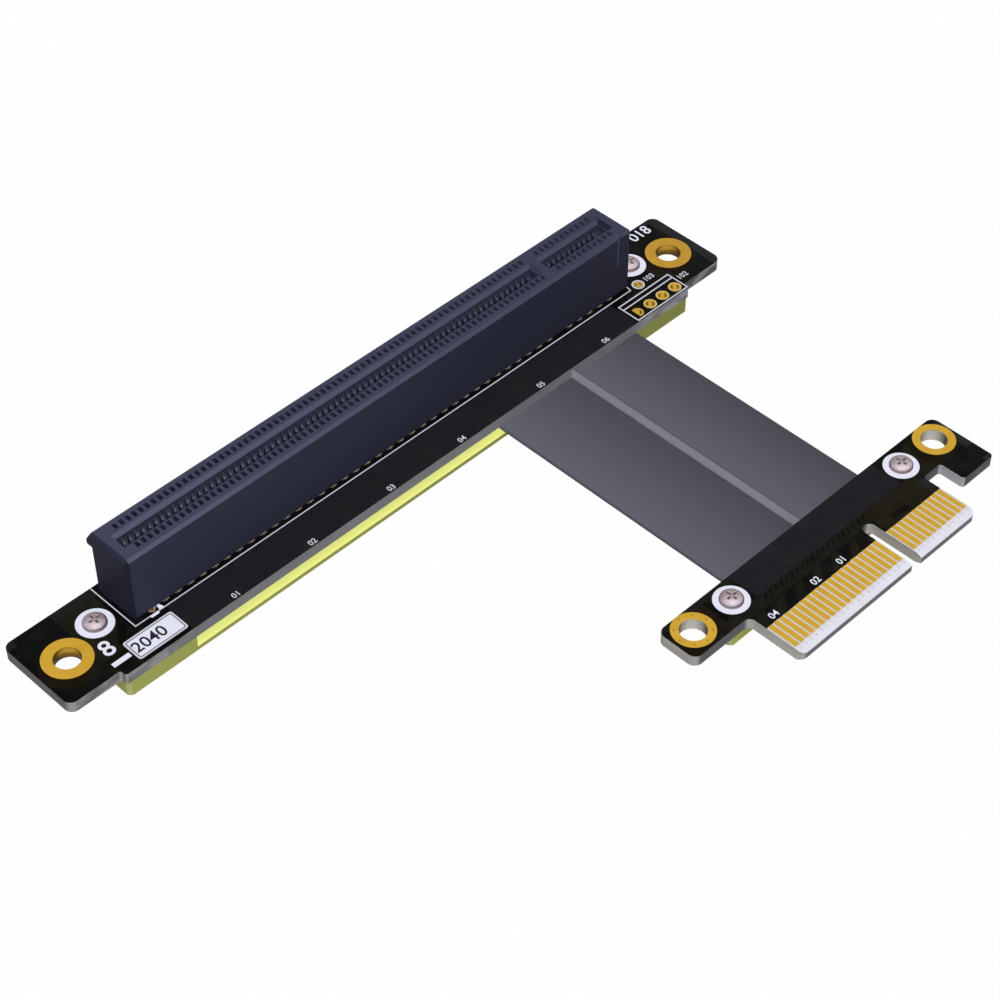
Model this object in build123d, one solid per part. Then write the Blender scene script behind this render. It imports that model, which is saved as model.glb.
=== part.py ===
from build123d import *
import os

# Ribbon riser for an expansion card: a long edge socket on a narrow board, joined by two
# flat ribbons to a small board that ends in a plated edge tongue.
# All sizes in millimetres. While it is modelled, +X runs along the socket towards its key
# end, +Y from the small board towards the socket, +Z up, with zero at the boards' top faces
# and at the middle of the long board. Every piece is moved at the end so that the origin is
# the bottom centre of the whole assembly.

# Both boards
BOARD_THICKNESS = 1.7
BOARD_CORNER = 1.2
JOG_FILLET = 0.4
PLATING = 0.05
MOUNT_BORE = 3.6

# Rows of contacts, the same in the socket and on the edge tongue
PIN_PITCH = 1.0
KEY_TO_CONTACT = 1.5
BEFORE_KEY_COUNT = 11

# Socket housing
SLOT_X = 0.2
SLOT_END_WALL = 1.85
SLOT_WIDTH = 7.32
SLOT_TOP = 10.36
SLOT_STANDOFF = 0.2
SLOT_CHAMFER = 0.4
SLOT_MOUTH_WIDTH = 1.84
MOUTH_END_MARGIN = 1.15
LEAD_IN_WIDTH = 0.58
LEAD_IN_DEPTH = 1.0
SLOT_FLOOR = 2.2
KEY_X = 30.0
KEY_WIDTH = 1.6
PIN_COUNT = 82
CAVITY_WIDTH = 0.56
CAVITY_WEB = 0.16
CAVITY_OUTER_WALL = 1.06
WINDOW_DROP = 0.05
FOOT_LENGTH = 1.6
FOOT_WIDTH = 1.4
FOOT_INSET = 1.26
FOOT_END_INSET = 1.2

# Retention hook on the housing's back, at the end away from the key
HOOK_LENGTH = 4.5
HOOK_REACH = 1.25
HOOK_UNDERSIDE_DROP = 3.15
HOOK_TIP_HEIGHT = 0.8

# Mould slit in the housing's front face, beside the key end
SLIT_END_INSET = 2.5
SLIT_WIDTH = 0.5
SLIT_DEPTH = 0.5
SLIT_HEIGHT = 5.0
SLIT_NOTCH_WIDTH = 0.8

# Spring contacts of the socket
CONTACT_SIDE_CLEARANCE = 0.07
CONTACT_THICKNESS = 0.22
CONTACT_BOW_REACH = 0.4
CONTACT_BOW_DROP = 2.05
CONTACT_TIP_CLEARANCE = 0.06
CONTACT_TIP_SETBACK = 0.2
CONTACT_FOOT_CLEARANCE = 0.65

# Long board, measured from the socket outwards
MAIN_BACK_MARGIN = 0.87
MAIN_WIDTH = 14.28
MAIN_SCREW_GAP = 3.5
MAIN_SCREW_Y = -0.5
SCREW_TO_TRAY_END = 2.5
TAB_CLEARANCE = 0.1
TAB_STEP = 1.02
TAB_TO_HOLE = 3.35
HOLE_TO_END = 4.45
HOLE_TO_TAB_FRONT = 6.11
MAIN_RING_DIAMETER = 6.6

# Header and test point
HEADER_PITCH = 2.54
HEADER_COUNT = 4
HEADER_TAB_INSET = 9.1
HEADER_FRONT_INSET = 1.47
HEADER_PAD_DIAMETER = 1.75
PIN_ONE_FLAT = 0.35
TEST_PAD_DIAMETER = 1.2
TEST_PAD_TAB_INSET = 4.73
TEST_PAD_SLOT_GAP = 0.64

# Under-cover of the long board
COVER_DEPTH = 2.45
COVER_FLOOR = 0.68
COVER_WALL = 1.0
COVER_CORNER = 0.5
OPENING_LEFT_INSET = 10.8

# Screws and the thick cover ends that they bite in
SCREW_HEAD_DIAMETER = 3.2
SCREW_HEAD_HEIGHT = 0.95
SCREW_CROWN = 1.1
SCREW_SHANK_DIAMETER = 1.6
SCREW_CLEARANCE = 0.1
SCREW_LENGTH = 3.6
RECESS_SPAN = 1.7
RECESS_WIDTH = 0.4
RECESS_DEPTH = 0.6
BOSS_REACH = 2.6

# Small board
BOARD_SPACING = 40.47
CARD_WIDTH = 6.32
CARD_LEFT_SHOULDER = 9.88
CARD_HOLE_BACK_INSET = 2.93
CARD_HOLE_LEFT_INSET = 3.37
CARD_HOLE_RIGHT_INSET = 3.18
CARD_HOLE_TO_LEFT_SCREW = 7.03
CARD_HOLE_TO_RIGHT_SCREW = 6.93
CARD_RING_DIAMETER = 5.8
ARM_GAP = 3.54
ARM_WIDTH = 6.2
ARM_LENGTH = 3.91
ARM_CORNER = 0.5

# Edge tongue
TONGUE_LENGTH = 8.63
TONGUE_CORNER = 1.0
TONGUE_ROOT_FILLET = 1.0
TONGUE_SIDE_MARGIN = 0.65
NOTCH_X = 31.76
NOTCH_WIDTH = 1.9
NOTCH_END_GAP = 0.1
BEVEL_LENGTH = 0.9
BEVEL_DEPTH = 0.35
FINGER_COUNT = 32
FINGER_WIDTH = 0.7
FINGER_SETBACK = 1.44
FINGER_LENGTH = 4.09

# Under-cover of the small board
CARD_COVER_MARGIN = 3.03
CARD_COVER_FRONT_INSET = 0.54

# Ribbons
RIBBON_THICKNESS = 0.35
RIBBON_OVERLAP_MAIN = 4.2
RIBBON_OVERLAP_CARD = 2.8
SCREW_TO_RIBBON = 2.87
LEFT_RIBBON_WIDTH = 13.72
RIBBON_GAP = 0.03
RIGHT_RIBBON_WIDTH = 12.95
LIP_TOP = -0.05
LIP_BEND = 0.4
LIP_CLEARANCE = 0.03
BEAD_LENGTH = 1.6
BEAD_HEIGHT = 0.8
RIBBON_SIDE_CLEARANCE = 0.3


def pin_positions(count, before_key, key_x):
    """Places of the contacts along X, from the key end, with the key's gap left free."""
    first = key_x + KEY_TO_CONTACT + (before_key - 1) * PIN_PITCH
    places = [first - n * PIN_PITCH for n in range(before_key)]
    after = key_x - KEY_TO_CONTACT
    places += [after - n * PIN_PITCH for n in range(count - before_key)]
    return places


# Heights that follow from the sizes above
BOARD_UNDERSIDE = -BOARD_THICKNESS
WINDOW_TOP = SLOT_TOP - LEAD_IN_DEPTH - WINDOW_DROP
COVER_UNDERSIDE = BOARD_UNDERSIDE - COVER_DEPTH
COVER_FLOOR_TOP = COVER_UNDERSIDE + COVER_FLOOR
RIBBON_UNDERSIDE = BOARD_UNDERSIDE - RIBBON_THICKNESS

# Socket, from its contacts outwards. Along X it is measured from the socket's own middle.
SLOT_PINS = pin_positions(PIN_COUNT, BEFORE_KEY_COUNT, KEY_X)
MOUTH_RIGHT = SLOT_PINS[0] + MOUTH_END_MARGIN
MOUTH_LEFT = SLOT_PINS[-1] - MOUTH_END_MARGIN
SLOT_RIGHT = MOUTH_RIGHT + SLOT_END_WALL
SLOT_LEFT = MOUTH_LEFT - SLOT_END_WALL
SLOT_BACK = SLOT_WIDTH / 2
HOOK_BACK = SLOT_BACK + HOOK_REACH
MOUTH_SIDE = SLOT_MOUTH_WIDTH / 2
CAVITY_INNER = MOUTH_SIDE + LEAD_IN_WIDTH + CAVITY_WEB
CAVITY_OUTER = SLOT_BACK - CAVITY_OUTER_WALL
SLIT_X = SLOT_RIGHT - SLIT_END_INSET

# Long board, from the socket outwards
MAIN_BACK = SLOT_BACK + MAIN_BACK_MARGIN
MAIN_FRONT = MAIN_BACK - MAIN_WIDTH
MAIN_SCREW_X = (SLOT_RIGHT - SLOT_LEFT) / 2 + MAIN_SCREW_GAP
TRAY_HALF_LENGTH = MAIN_SCREW_X + SCREW_TO_TRAY_END
TAB_START = TRAY_HALF_LENGTH + TAB_CLEARANCE
TAB_FRONT = MAIN_FRONT + TAB_STEP
MAIN_HOLE_X = TAB_START + TAB_TO_HOLE
MAIN_HOLE_Y = TAB_FRONT + HOLE_TO_TAB_FRONT
MAIN_HALF_LENGTH = MAIN_HOLE_X + HOLE_TO_END
HEADER_FIRST_X = TAB_START - HEADER_TAB_INSET
HEADER_Y = MAIN_FRONT + HEADER_FRONT_INSET
TEST_PAD_PLACE = (TAB_START - TEST_PAD_TAB_INSET, -SLOT_BACK - TEST_PAD_SLOT_GAP)

# Small board, from the long board forwards and from the edge contacts outwards
CARD_PINS = pin_positions(FINGER_COUNT, BEFORE_KEY_COUNT, NOTCH_X)
TONGUE_LEFT = CARD_PINS[-1] - TONGUE_SIDE_MARGIN
TONGUE_RIGHT = CARD_PINS[0] + TONGUE_SIDE_MARGIN
ARM_LEFT = TONGUE_RIGHT + ARM_GAP
CARD_LEFT = TONGUE_LEFT - CARD_LEFT_SHOULDER
CARD_RIGHT = ARM_LEFT + ARM_WIDTH
CARD_BACK = MAIN_FRONT - BOARD_SPACING
CARD_FRONT = CARD_BACK - CARD_WIDTH
CARD_HOLE_LEFT_X = CARD_LEFT + CARD_HOLE_LEFT_INSET
CARD_HOLE_RIGHT_X = CARD_RIGHT - CARD_HOLE_RIGHT_INSET
CARD_HOLE_Y = CARD_BACK - CARD_HOLE_BACK_INSET
CARD_SCREW_LEFT_X = CARD_HOLE_LEFT_X + CARD_HOLE_TO_LEFT_SCREW
CARD_SCREW_RIGHT_X = CARD_HOLE_RIGHT_X - CARD_HOLE_TO_RIGHT_SCREW
ARM_FRONT = CARD_FRONT - ARM_LENGTH
TONGUE_FRONT = CARD_FRONT - TONGUE_LENGTH
NOTCH_END = CARD_FRONT - NOTCH_END_GAP
CARD_COVER_FRONT = CARD_FRONT + CARD_COVER_FRONT_INSET

# Ribbons, side by side, and the mouth of the long board's cover that they pass through
LEFT_RIBBON_LEFT = CARD_SCREW_LEFT_X + SCREW_TO_RIBBON
LEFT_RIBBON_RIGHT = LEFT_RIBBON_LEFT + LEFT_RIBBON_WIDTH
RIGHT_RIBBON_LEFT = LEFT_RIBBON_RIGHT + RIBBON_GAP
RIGHT_RIBBON_RIGHT = RIGHT_RIBBON_LEFT + RIGHT_RIBBON_WIDTH
RIBBON_BACK = MAIN_FRONT + RIBBON_OVERLAP_MAIN
RIBBON_FRONT = CARD_BACK - RIBBON_OVERLAP_CARD
TRAY_OPENING = (-TRAY_HALF_LENGTH + OPENING_LEFT_INSET, RIGHT_RIBBON_RIGHT + RIBBON_SIDE_CLEARANCE)

MAIN_SCREWS = [(-MAIN_SCREW_X, MAIN_SCREW_Y), (MAIN_SCREW_X, MAIN_SCREW_Y)]
CARD_SCREWS = [(CARD_SCREW_LEFT_X, CARD_HOLE_Y), (CARD_SCREW_RIGHT_X, CARD_HOLE_Y)]
HEADER_PLACES = [(HEADER_FIRST_X + n * HEADER_PITCH, HEADER_Y) for n in range(HEADER_COUNT)]
SHIFT = (0, -(max(MAIN_BACK, HOOK_BACK) + TONGUE_FRONT) / 2, -COVER_UNDERSIDE)


def block(x_range, y_range, z_range):
    """A box given by its two corners along each axis."""
    size = [high - low for low, high in (x_range, y_range, z_range)]
    middle = [(high + low) / 2 for low, high in (x_range, y_range, z_range)]
    return Pos(*middle) * Box(*size)


def rod(diameter, x, y, z_low, z_high):
    """An upright cylinder between two heights."""
    return Pos(x, y, (z_low + z_high) / 2) * Cylinder(diameter / 2, z_high - z_low)


def outline(points, z_low, z_high, rounds):
    """A plate with the given outline. Rounds are (radius, corner numbers)."""
    wire = Polyline(*points, close=True)
    face = make_face(wire)
    for radius, numbers in rounds:
        for number in numbers:
            corner = Vector(*points[number])
            vertex = min(face.vertices(), key=lambda v: (Vector(v.X, v.Y) - corner).length)
            face = fillet(vertex, radius)
    return Pos(0, 0, z_low) * extrude(face, z_high - z_low)


def along_x(points, x_low, x_high):
    """A prism along X with its section given as (y, z) points."""
    face = make_face(Polyline(*[(0, y, z) for y, z in points], close=True))
    return Pos(x_low, 0, 0) * extrude(face, x_high - x_low, dir=(1, 0, 0))


def make_main_board():
    points = [
        (-MAIN_HALF_LENGTH, MAIN_BACK),
        (-MAIN_HALF_LENGTH, TAB_FRONT),
        (-TAB_START, TAB_FRONT),
        (-TAB_START, MAIN_FRONT),
        (TAB_START, MAIN_FRONT),
        (TAB_START, TAB_FRONT),
        (MAIN_HALF_LENGTH, TAB_FRONT),
        (MAIN_HALF_LENGTH, MAIN_BACK),
    ]
    rounds = [(BOARD_CORNER, (0, 1, 6, 7)), (JOG_FILLET, (2, 3, 4, 5))]
    board = outline(points, BOARD_UNDERSIDE, 0, rounds)
    for x in (-MAIN_HOLE_X, MAIN_HOLE_X):
        board -= rod(MOUNT_BORE, x, MAIN_HOLE_Y, BOARD_UNDERSIDE, 0)
    for x, y in MAIN_SCREWS:
        board -= rod(SCREW_SHANK_DIAMETER + 2 * SCREW_CLEARANCE, x, y, BOARD_UNDERSIDE, 0)
    return board


def make_land(diameter, bore, x, y):
    """A flat ring of plating on the top face only."""
    ring = rod(diameter, x, y, 0, PLATING)
    return ring - rod(bore, x, y, 0, PLATING)


def make_test_pad():
    """A small filled land beside the header."""
    return rod(TEST_PAD_DIAMETER, *TEST_PAD_PLACE, 0, PLATING)


def make_header_pads():
    """Round filled lands in a row. The first one has a flat side."""
    pads = []
    for number, (x, y) in enumerate(HEADER_PLACES):
        pad = rod(HEADER_PAD_DIAMETER, x, y, 0, PLATING)
        if number == 0:
            reach = HEADER_PAD_DIAMETER / 2
            pad -= block((x - reach, x - PIN_ONE_FLAT), (y - reach, y + reach), (0, PLATING))
        pads.append(pad)
    return Compound(children=pads)


def pocket(x_low, x_high):
    """One length of the card opening, with a sloped lead-in round its mouth."""
    floor = block((x_low, x_high), (-MOUTH_SIDE, MOUTH_SIDE), (SLOT_FLOOR, SLOT_TOP))
    middle = (x_low + x_high) / 2
    length = x_high - x_low
    narrow = Pos(middle, 0, SLOT_TOP - LEAD_IN_DEPTH) * Rectangle(length, SLOT_MOUTH_WIDTH)
    wide = Pos(middle, 0, SLOT_TOP) * Rectangle(length + LEAD_IN_WIDTH, SLOT_MOUTH_WIDTH + 2 * LEAD_IN_WIDTH)
    return floor + loft([narrow, wide])


def make_slot_housing():
    body = block((SLOT_LEFT, SLOT_RIGHT), (-SLOT_BACK, SLOT_BACK), (SLOT_STANDOFF, SLOT_TOP))
    edges = body.edges().filter_by(Axis.Z) + body.faces().sort_by(Axis.Z)[-1].edges()
    body = chamfer(edges, SLOT_CHAMFER)

    tip_low = SLOT_TOP - HOOK_UNDERSIDE_DROP
    hook_left = SLOT_LEFT + SLOT_CHAMFER
    hook = along_x(
        [
            (SLOT_BACK - SLOT_CHAMFER, tip_low),
            (HOOK_BACK, tip_low),
            (HOOK_BACK, tip_low + HOOK_TIP_HEIGHT),
            (SLOT_BACK, SLOT_TOP - SLOT_CHAMFER),
            (SLOT_BACK - SLOT_CHAMFER, SLOT_TOP - SLOT_CHAMFER),
        ],
        hook_left,
        hook_left + HOOK_LENGTH,
    )
    body += hook

    body -= pocket(MOUTH_LEFT, KEY_X - KEY_WIDTH / 2)
    body -= pocket(KEY_X + KEY_WIDTH / 2, MOUTH_RIGHT)

    front = -SLOT_BACK
    body -= block(
        (SLIT_X - SLIT_WIDTH / 2, SLIT_X + SLIT_WIDTH / 2),
        (front, front + SLIT_DEPTH),
        (SLOT_TOP - SLIT_HEIGHT, SLOT_TOP),
    )
    body -= block(
        (SLIT_X - SLIT_NOTCH_WIDTH / 2, SLIT_X + SLIT_NOTCH_WIDTH / 2),
        (front, front + SLIT_DEPTH),
        (SLOT_TOP - SLOT_CHAMFER, SLOT_TOP),
    )

    section = [
        (CAVITY_OUTER, SLOT_TOP),
        (CAVITY_OUTER, SLOT_FLOOR),
        (MOUTH_SIDE, SLOT_FLOOR),
        (MOUTH_SIDE, WINDOW_TOP),
        (CAVITY_INNER, WINDOW_TOP),
        (CAVITY_INNER, SLOT_TOP),
    ]
    cavity = along_x(section, -CAVITY_WIDTH / 2, CAVITY_WIDTH / 2)
    mirrored = along_x([(-y, z) for y, z in section], -CAVITY_WIDTH / 2, CAVITY_WIDTH / 2)
    cutters = []
    for x in SLOT_PINS:
        cutters.append(Pos(x, 0, 0) * cavity)
        cutters.append(Pos(x, 0, 0) * mirrored)
    body -= Compound(children=cutters)

    for x in (SLOT_LEFT + FOOT_END_INSET, KEY_X, SLOT_RIGHT - FOOT_END_INSET):
        for y in (-SLOT_BACK + FOOT_INSET, SLOT_BACK - FOOT_INSET):
            body += block(
                (x - FOOT_LENGTH / 2, x + FOOT_LENGTH / 2),
                (y - FOOT_WIDTH / 2, y + FOOT_WIDTH / 2),
                (0, SLOT_STANDOFF),
            )
    return Pos(SLOT_X, 0, 0) * body


def make_contacts(side):
    """One row of bowed spring contacts. Side is -1 at the front and 1 at the back."""
    bow = MOUTH_SIDE - CONTACT_BOW_REACH
    bow_height = SLOT_TOP - CONTACT_BOW_DROP
    section = [
        (MOUTH_SIDE + CONTACT_TIP_SETBACK, WINDOW_TOP - CONTACT_TIP_CLEARANCE),
        (bow + CONTACT_THICKNESS, bow_height),
        (CAVITY_OUTER - CONTACT_FOOT_CLEARANCE, SLOT_FLOOR),
        (bow, bow_height),
    ]
    half_width = CAVITY_WIDTH / 2 - CONTACT_SIDE_CLEARANCE
    spring = along_x([(side * y, z) for y, z in section], -half_width, half_width)
    return Compound(children=[Pos(SLOT_X + x, 0, 0) * spring for x in SLOT_PINS])


def cover(x_range, y_range, hollow_x, hollow_y, screws):
    """A shallow open-topped cover. Its ends stay thick, where the screws bite."""
    body = block(x_range, y_range, (COVER_UNDERSIDE, BOARD_UNDERSIDE))
    body = chamfer(body.edges().filter_by(Axis.Z), COVER_CORNER)
    body -= block(hollow_x, hollow_y, (COVER_FLOOR_TOP, BOARD_UNDERSIDE))
    for x, y in screws:
        body -= rod(SCREW_SHANK_DIAMETER + 2 * SCREW_CLEARANCE, x, y, -SCREW_LENGTH, BOARD_UNDERSIDE)
    return body


def make_main_cover():
    """Cover of the long board, with a mouth in its front wall for the ribbons."""
    inner = MAIN_SCREW_X - BOSS_REACH
    walls = (MAIN_FRONT + COVER_WALL, MAIN_BACK - COVER_WALL)
    body = cover(
        (-TRAY_HALF_LENGTH, TRAY_HALF_LENGTH), (MAIN_FRONT, MAIN_BACK), (-inner, inner), walls, MAIN_SCREWS
    )
    return body - block(TRAY_OPENING, (MAIN_FRONT, walls[0]), (COVER_FLOOR_TOP, BOARD_UNDERSIDE))


def make_card_cover():
    """Cover of the small board, open at the back over the ribbons' width."""
    return cover(
        (CARD_SCREW_LEFT_X - CARD_COVER_MARGIN, CARD_SCREW_RIGHT_X + CARD_COVER_MARGIN),
        (CARD_COVER_FRONT, CARD_BACK),
        (LEFT_RIBBON_LEFT - RIBBON_SIDE_CLEARANCE, RIGHT_RIBBON_RIGHT + RIBBON_SIDE_CLEARANCE),
        (CARD_COVER_FRONT + COVER_WALL, CARD_BACK),
        CARD_SCREWS,
    )


def make_screw(x, y):
    """A low sloping head with a cross recess, on a plain shank."""
    profile = [(0, 0), (SCREW_HEAD_DIAMETER / 2, 0), (SCREW_CROWN, SCREW_HEAD_HEIGHT), (0, SCREW_HEAD_HEIGHT)]
    head = revolve(make_face(Polyline(*[(r, 0, z) for r, z in profile], close=True)), Axis.Z)
    shank = rod(SCREW_SHANK_DIAMETER, 0, 0, -SCREW_LENGTH, 0)
    long = RECESS_SPAN / 2
    short = RECESS_WIDTH / 2
    low = SCREW_HEAD_HEIGHT - RECESS_DEPTH
    recess = block((-long, long), (-short, short), (low, SCREW_HEAD_HEIGHT))
    recess += block((-short, short), (-long, long), (low, SCREW_HEAD_HEIGHT))
    return Pos(x, y, 0) * (head + shank - recess)


def make_screws(places):
    return Compound(children=[make_screw(x, y) for x, y in places])


def make_card_board():
    half_notch = NOTCH_WIDTH / 2
    points = [
        (CARD_LEFT, CARD_BACK),
        (CARD_LEFT, CARD_FRONT),
        (TONGUE_LEFT, CARD_FRONT),
        (TONGUE_LEFT, TONGUE_FRONT),
        (TONGUE_RIGHT, TONGUE_FRONT),
        (TONGUE_RIGHT, CARD_FRONT),
        (ARM_LEFT, CARD_FRONT),
        (ARM_LEFT, ARM_FRONT),
        (CARD_RIGHT, ARM_FRONT),
        (CARD_RIGHT, CARD_BACK),
    ]
    rounds = [
        (BOARD_CORNER, (0, 1, 9)),
        (TONGUE_ROOT_FILLET, (2,)),
        (TONGUE_CORNER, (3, 4)),
        (ARM_CORNER, (5, 6, 7, 8)),
    ]
    board = outline(points, BOARD_UNDERSIDE, 0, rounds)
    notch_straight = NOTCH_END - half_notch
    board -= block(
        (NOTCH_X - half_notch, NOTCH_X + half_notch), (TONGUE_FRONT, notch_straight), (BOARD_UNDERSIDE, 0)
    )
    board -= rod(NOTCH_WIDTH, NOTCH_X, notch_straight, BOARD_UNDERSIDE, 0)

    # Sloped insertion edge, the same above and below
    bevel_top = [(TONGUE_FRONT, 0), (TONGUE_FRONT + BEVEL_LENGTH, 0), (TONGUE_FRONT, -BEVEL_DEPTH)]
    bevel_bottom = [(y, BOARD_UNDERSIDE - z) for y, z in bevel_top]
    board -= along_x(bevel_top, TONGUE_LEFT, TONGUE_RIGHT)
    board -= along_x(bevel_bottom, TONGUE_LEFT, TONGUE_RIGHT)

    for x in (CARD_HOLE_LEFT_X, CARD_HOLE_RIGHT_X):
        board -= rod(MOUNT_BORE, x, CARD_HOLE_Y, BOARD_UNDERSIDE, 0)
    for x, y in CARD_SCREWS:
        board -= rod(SCREW_SHANK_DIAMETER + 2 * SCREW_CLEARANCE, x, y, BOARD_UNDERSIDE, 0)
    return board


def make_fingers(z_low):
    """Edge contacts of one face of the tongue."""
    front = TONGUE_FRONT + FINGER_SETBACK
    fingers = []
    for x in CARD_PINS:
        x_range = (x - FINGER_WIDTH / 2, x + FINGER_WIDTH / 2)
        fingers.append(block(x_range, (front, front + FINGER_LENGTH), (z_low, z_low + PLATING)))
    return Compound(children=fingers)


def along_y(face, y_low, y_high):
    """A prism along Y from a section drawn in the XZ plane."""
    return Pos(0, y_high, 0) * extrude(face, y_high - y_low, dir=(0, -1, 0))


def make_left_ribbon():
    x_range = (LEFT_RIBBON_LEFT, LEFT_RIBBON_RIGHT)
    return block(x_range, (RIBBON_FRONT, RIBBON_BACK), (RIBBON_UNDERSIDE, BOARD_UNDERSIDE))


def make_right_ribbon():
    """A flat ribbon whose inner margin stands up in the open span between the boards."""
    flat = block(
        (RIGHT_RIBBON_LEFT + LIP_BEND, RIGHT_RIBBON_RIGHT),
        (RIBBON_FRONT, RIBBON_BACK),
        (RIBBON_UNDERSIDE, BOARD_UNDERSIDE),
    )
    inner = LIP_BEND - RIBBON_THICKNESS
    centre = (RIGHT_RIBBON_LEFT + LIP_BEND, RIBBON_UNDERSIDE + LIP_BEND)
    with BuildSketch(Plane.XZ) as bend:
        with BuildLine():
            Line((centre[0], RIBBON_UNDERSIDE), (centre[0], BOARD_UNDERSIDE))
            RadiusArc((centre[0], BOARD_UNDERSIDE), (centre[0] - inner, centre[1]), inner)
            Line((centre[0] - inner, centre[1]), (centre[0] - inner, LIP_TOP))
            Line((centre[0] - inner, LIP_TOP), (RIGHT_RIBBON_LEFT, LIP_TOP))
            Line((RIGHT_RIBBON_LEFT, LIP_TOP), (RIGHT_RIBBON_LEFT, centre[1]))
            RadiusArc((RIGHT_RIBBON_LEFT, centre[1]), (centre[0], RIBBON_UNDERSIDE), -LIP_BEND)
        make_face()
    lip = along_y(bend.sketch, CARD_BACK + LIP_CLEARANCE, MAIN_FRONT - LIP_CLEARANCE)
    return flat + lip


def make_solder_beads():
    """Potted solder joints across each ribbon's ends, on the underside of each board."""
    beads = []
    for low, high in (
        (LEFT_RIBBON_LEFT, LEFT_RIBBON_RIGHT),
        (RIGHT_RIBBON_LEFT + LIP_BEND, RIGHT_RIBBON_RIGHT),
    ):
        for y in (RIBBON_BACK, RIBBON_FRONT - BEAD_LENGTH):
            beads.append(
                block((low, high), (y, y + BEAD_LENGTH), (BOARD_UNDERSIDE - BEAD_HEIGHT, BOARD_UNDERSIDE))
            )
    return Compound(children=beads)


def build():
    """All pieces of the assembly by name."""
    return {
        "main_board": make_main_board(),
        "slot_housing": make_slot_housing(),
        "contacts_front": make_contacts(-1),
        "contacts_back": make_contacts(1),
        "main_ring_left": make_land(MAIN_RING_DIAMETER, MOUNT_BORE, -MAIN_HOLE_X, MAIN_HOLE_Y),
        "main_ring_right": make_land(MAIN_RING_DIAMETER, MOUNT_BORE, MAIN_HOLE_X, MAIN_HOLE_Y),
        "header_pads": make_header_pads(),
        "test_pad": make_test_pad(),
        "main_screws": make_screws(MAIN_SCREWS),
        "main_cover": make_main_cover(),
        "left_ribbon": make_left_ribbon(),
        "right_ribbon": make_right_ribbon(),
        "solder_beads": make_solder_beads(),
        "card_board": make_card_board(),
        "card_ring_left": make_land(CARD_RING_DIAMETER, MOUNT_BORE, CARD_HOLE_LEFT_X, CARD_HOLE_Y),
        "card_ring_right": make_land(CARD_RING_DIAMETER, MOUNT_BORE, CARD_HOLE_RIGHT_X, CARD_HOLE_Y),
        "fingers_top": make_fingers(0),
        "fingers_bottom": make_fingers(BOARD_UNDERSIDE - PLATING),
        "card_screws": make_screws(CARD_SCREWS),
        "card_cover": make_card_cover(),
    }


os.makedirs("parts", exist_ok=True)
for name, piece in build().items():
    export_step(Pos(*SHIFT) * piece, f"parts/{name}.step")
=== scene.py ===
import logging
import math
from dataclasses import dataclass
from enum import Enum
from typing import ClassVar, Iterable, Sequence

import bmesh
import bpy
from mathutils import Matrix, Vector


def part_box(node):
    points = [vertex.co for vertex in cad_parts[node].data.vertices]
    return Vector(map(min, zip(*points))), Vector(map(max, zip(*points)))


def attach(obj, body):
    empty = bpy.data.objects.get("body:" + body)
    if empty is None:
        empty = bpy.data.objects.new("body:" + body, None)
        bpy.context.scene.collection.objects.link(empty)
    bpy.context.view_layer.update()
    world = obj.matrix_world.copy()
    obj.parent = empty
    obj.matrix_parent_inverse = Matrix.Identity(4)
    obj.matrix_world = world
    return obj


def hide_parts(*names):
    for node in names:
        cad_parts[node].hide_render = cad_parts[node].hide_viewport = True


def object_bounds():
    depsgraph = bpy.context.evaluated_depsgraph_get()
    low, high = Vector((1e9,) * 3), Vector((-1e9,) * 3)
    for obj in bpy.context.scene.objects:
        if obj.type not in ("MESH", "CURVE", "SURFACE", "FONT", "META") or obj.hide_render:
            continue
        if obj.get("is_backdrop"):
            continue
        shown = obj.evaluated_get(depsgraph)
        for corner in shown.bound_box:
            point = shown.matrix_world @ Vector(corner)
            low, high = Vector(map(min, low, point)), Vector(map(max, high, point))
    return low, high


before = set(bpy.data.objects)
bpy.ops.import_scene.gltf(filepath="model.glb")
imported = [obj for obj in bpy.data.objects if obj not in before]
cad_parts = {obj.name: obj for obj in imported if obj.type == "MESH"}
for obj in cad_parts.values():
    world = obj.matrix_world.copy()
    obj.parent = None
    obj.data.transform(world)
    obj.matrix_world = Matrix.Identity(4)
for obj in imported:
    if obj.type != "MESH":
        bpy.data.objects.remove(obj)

LOG = logging.getLogger("riser")
MM = 0.001
FACING = 0.5  # A face that turns this far to a side counts as facing it.
# Painted light on the walls of holes and bores falls from this side.
LIT_FROM = (-0.707, -0.707)  # Level direction of the brighter side, left and front.
Point = tuple[float, float]


@dataclass(frozen=True)
class Placement:
    """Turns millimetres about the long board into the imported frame."""

    back: float
    top: float

    @classmethod
    def from_frame(cls, board_back: float) -> "Placement":
        """Reads where the long board lies, whose back edge is at board_back in millimetres."""
        _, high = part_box("main_board")
        return cls(high.y / MM - board_back, high.z / MM)

    def at(self, x: float, y: float, z: float = 0.0) -> Vector:
        """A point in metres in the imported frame."""
        return Vector((x, y + self.back, z + self.top)) * MM


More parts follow.
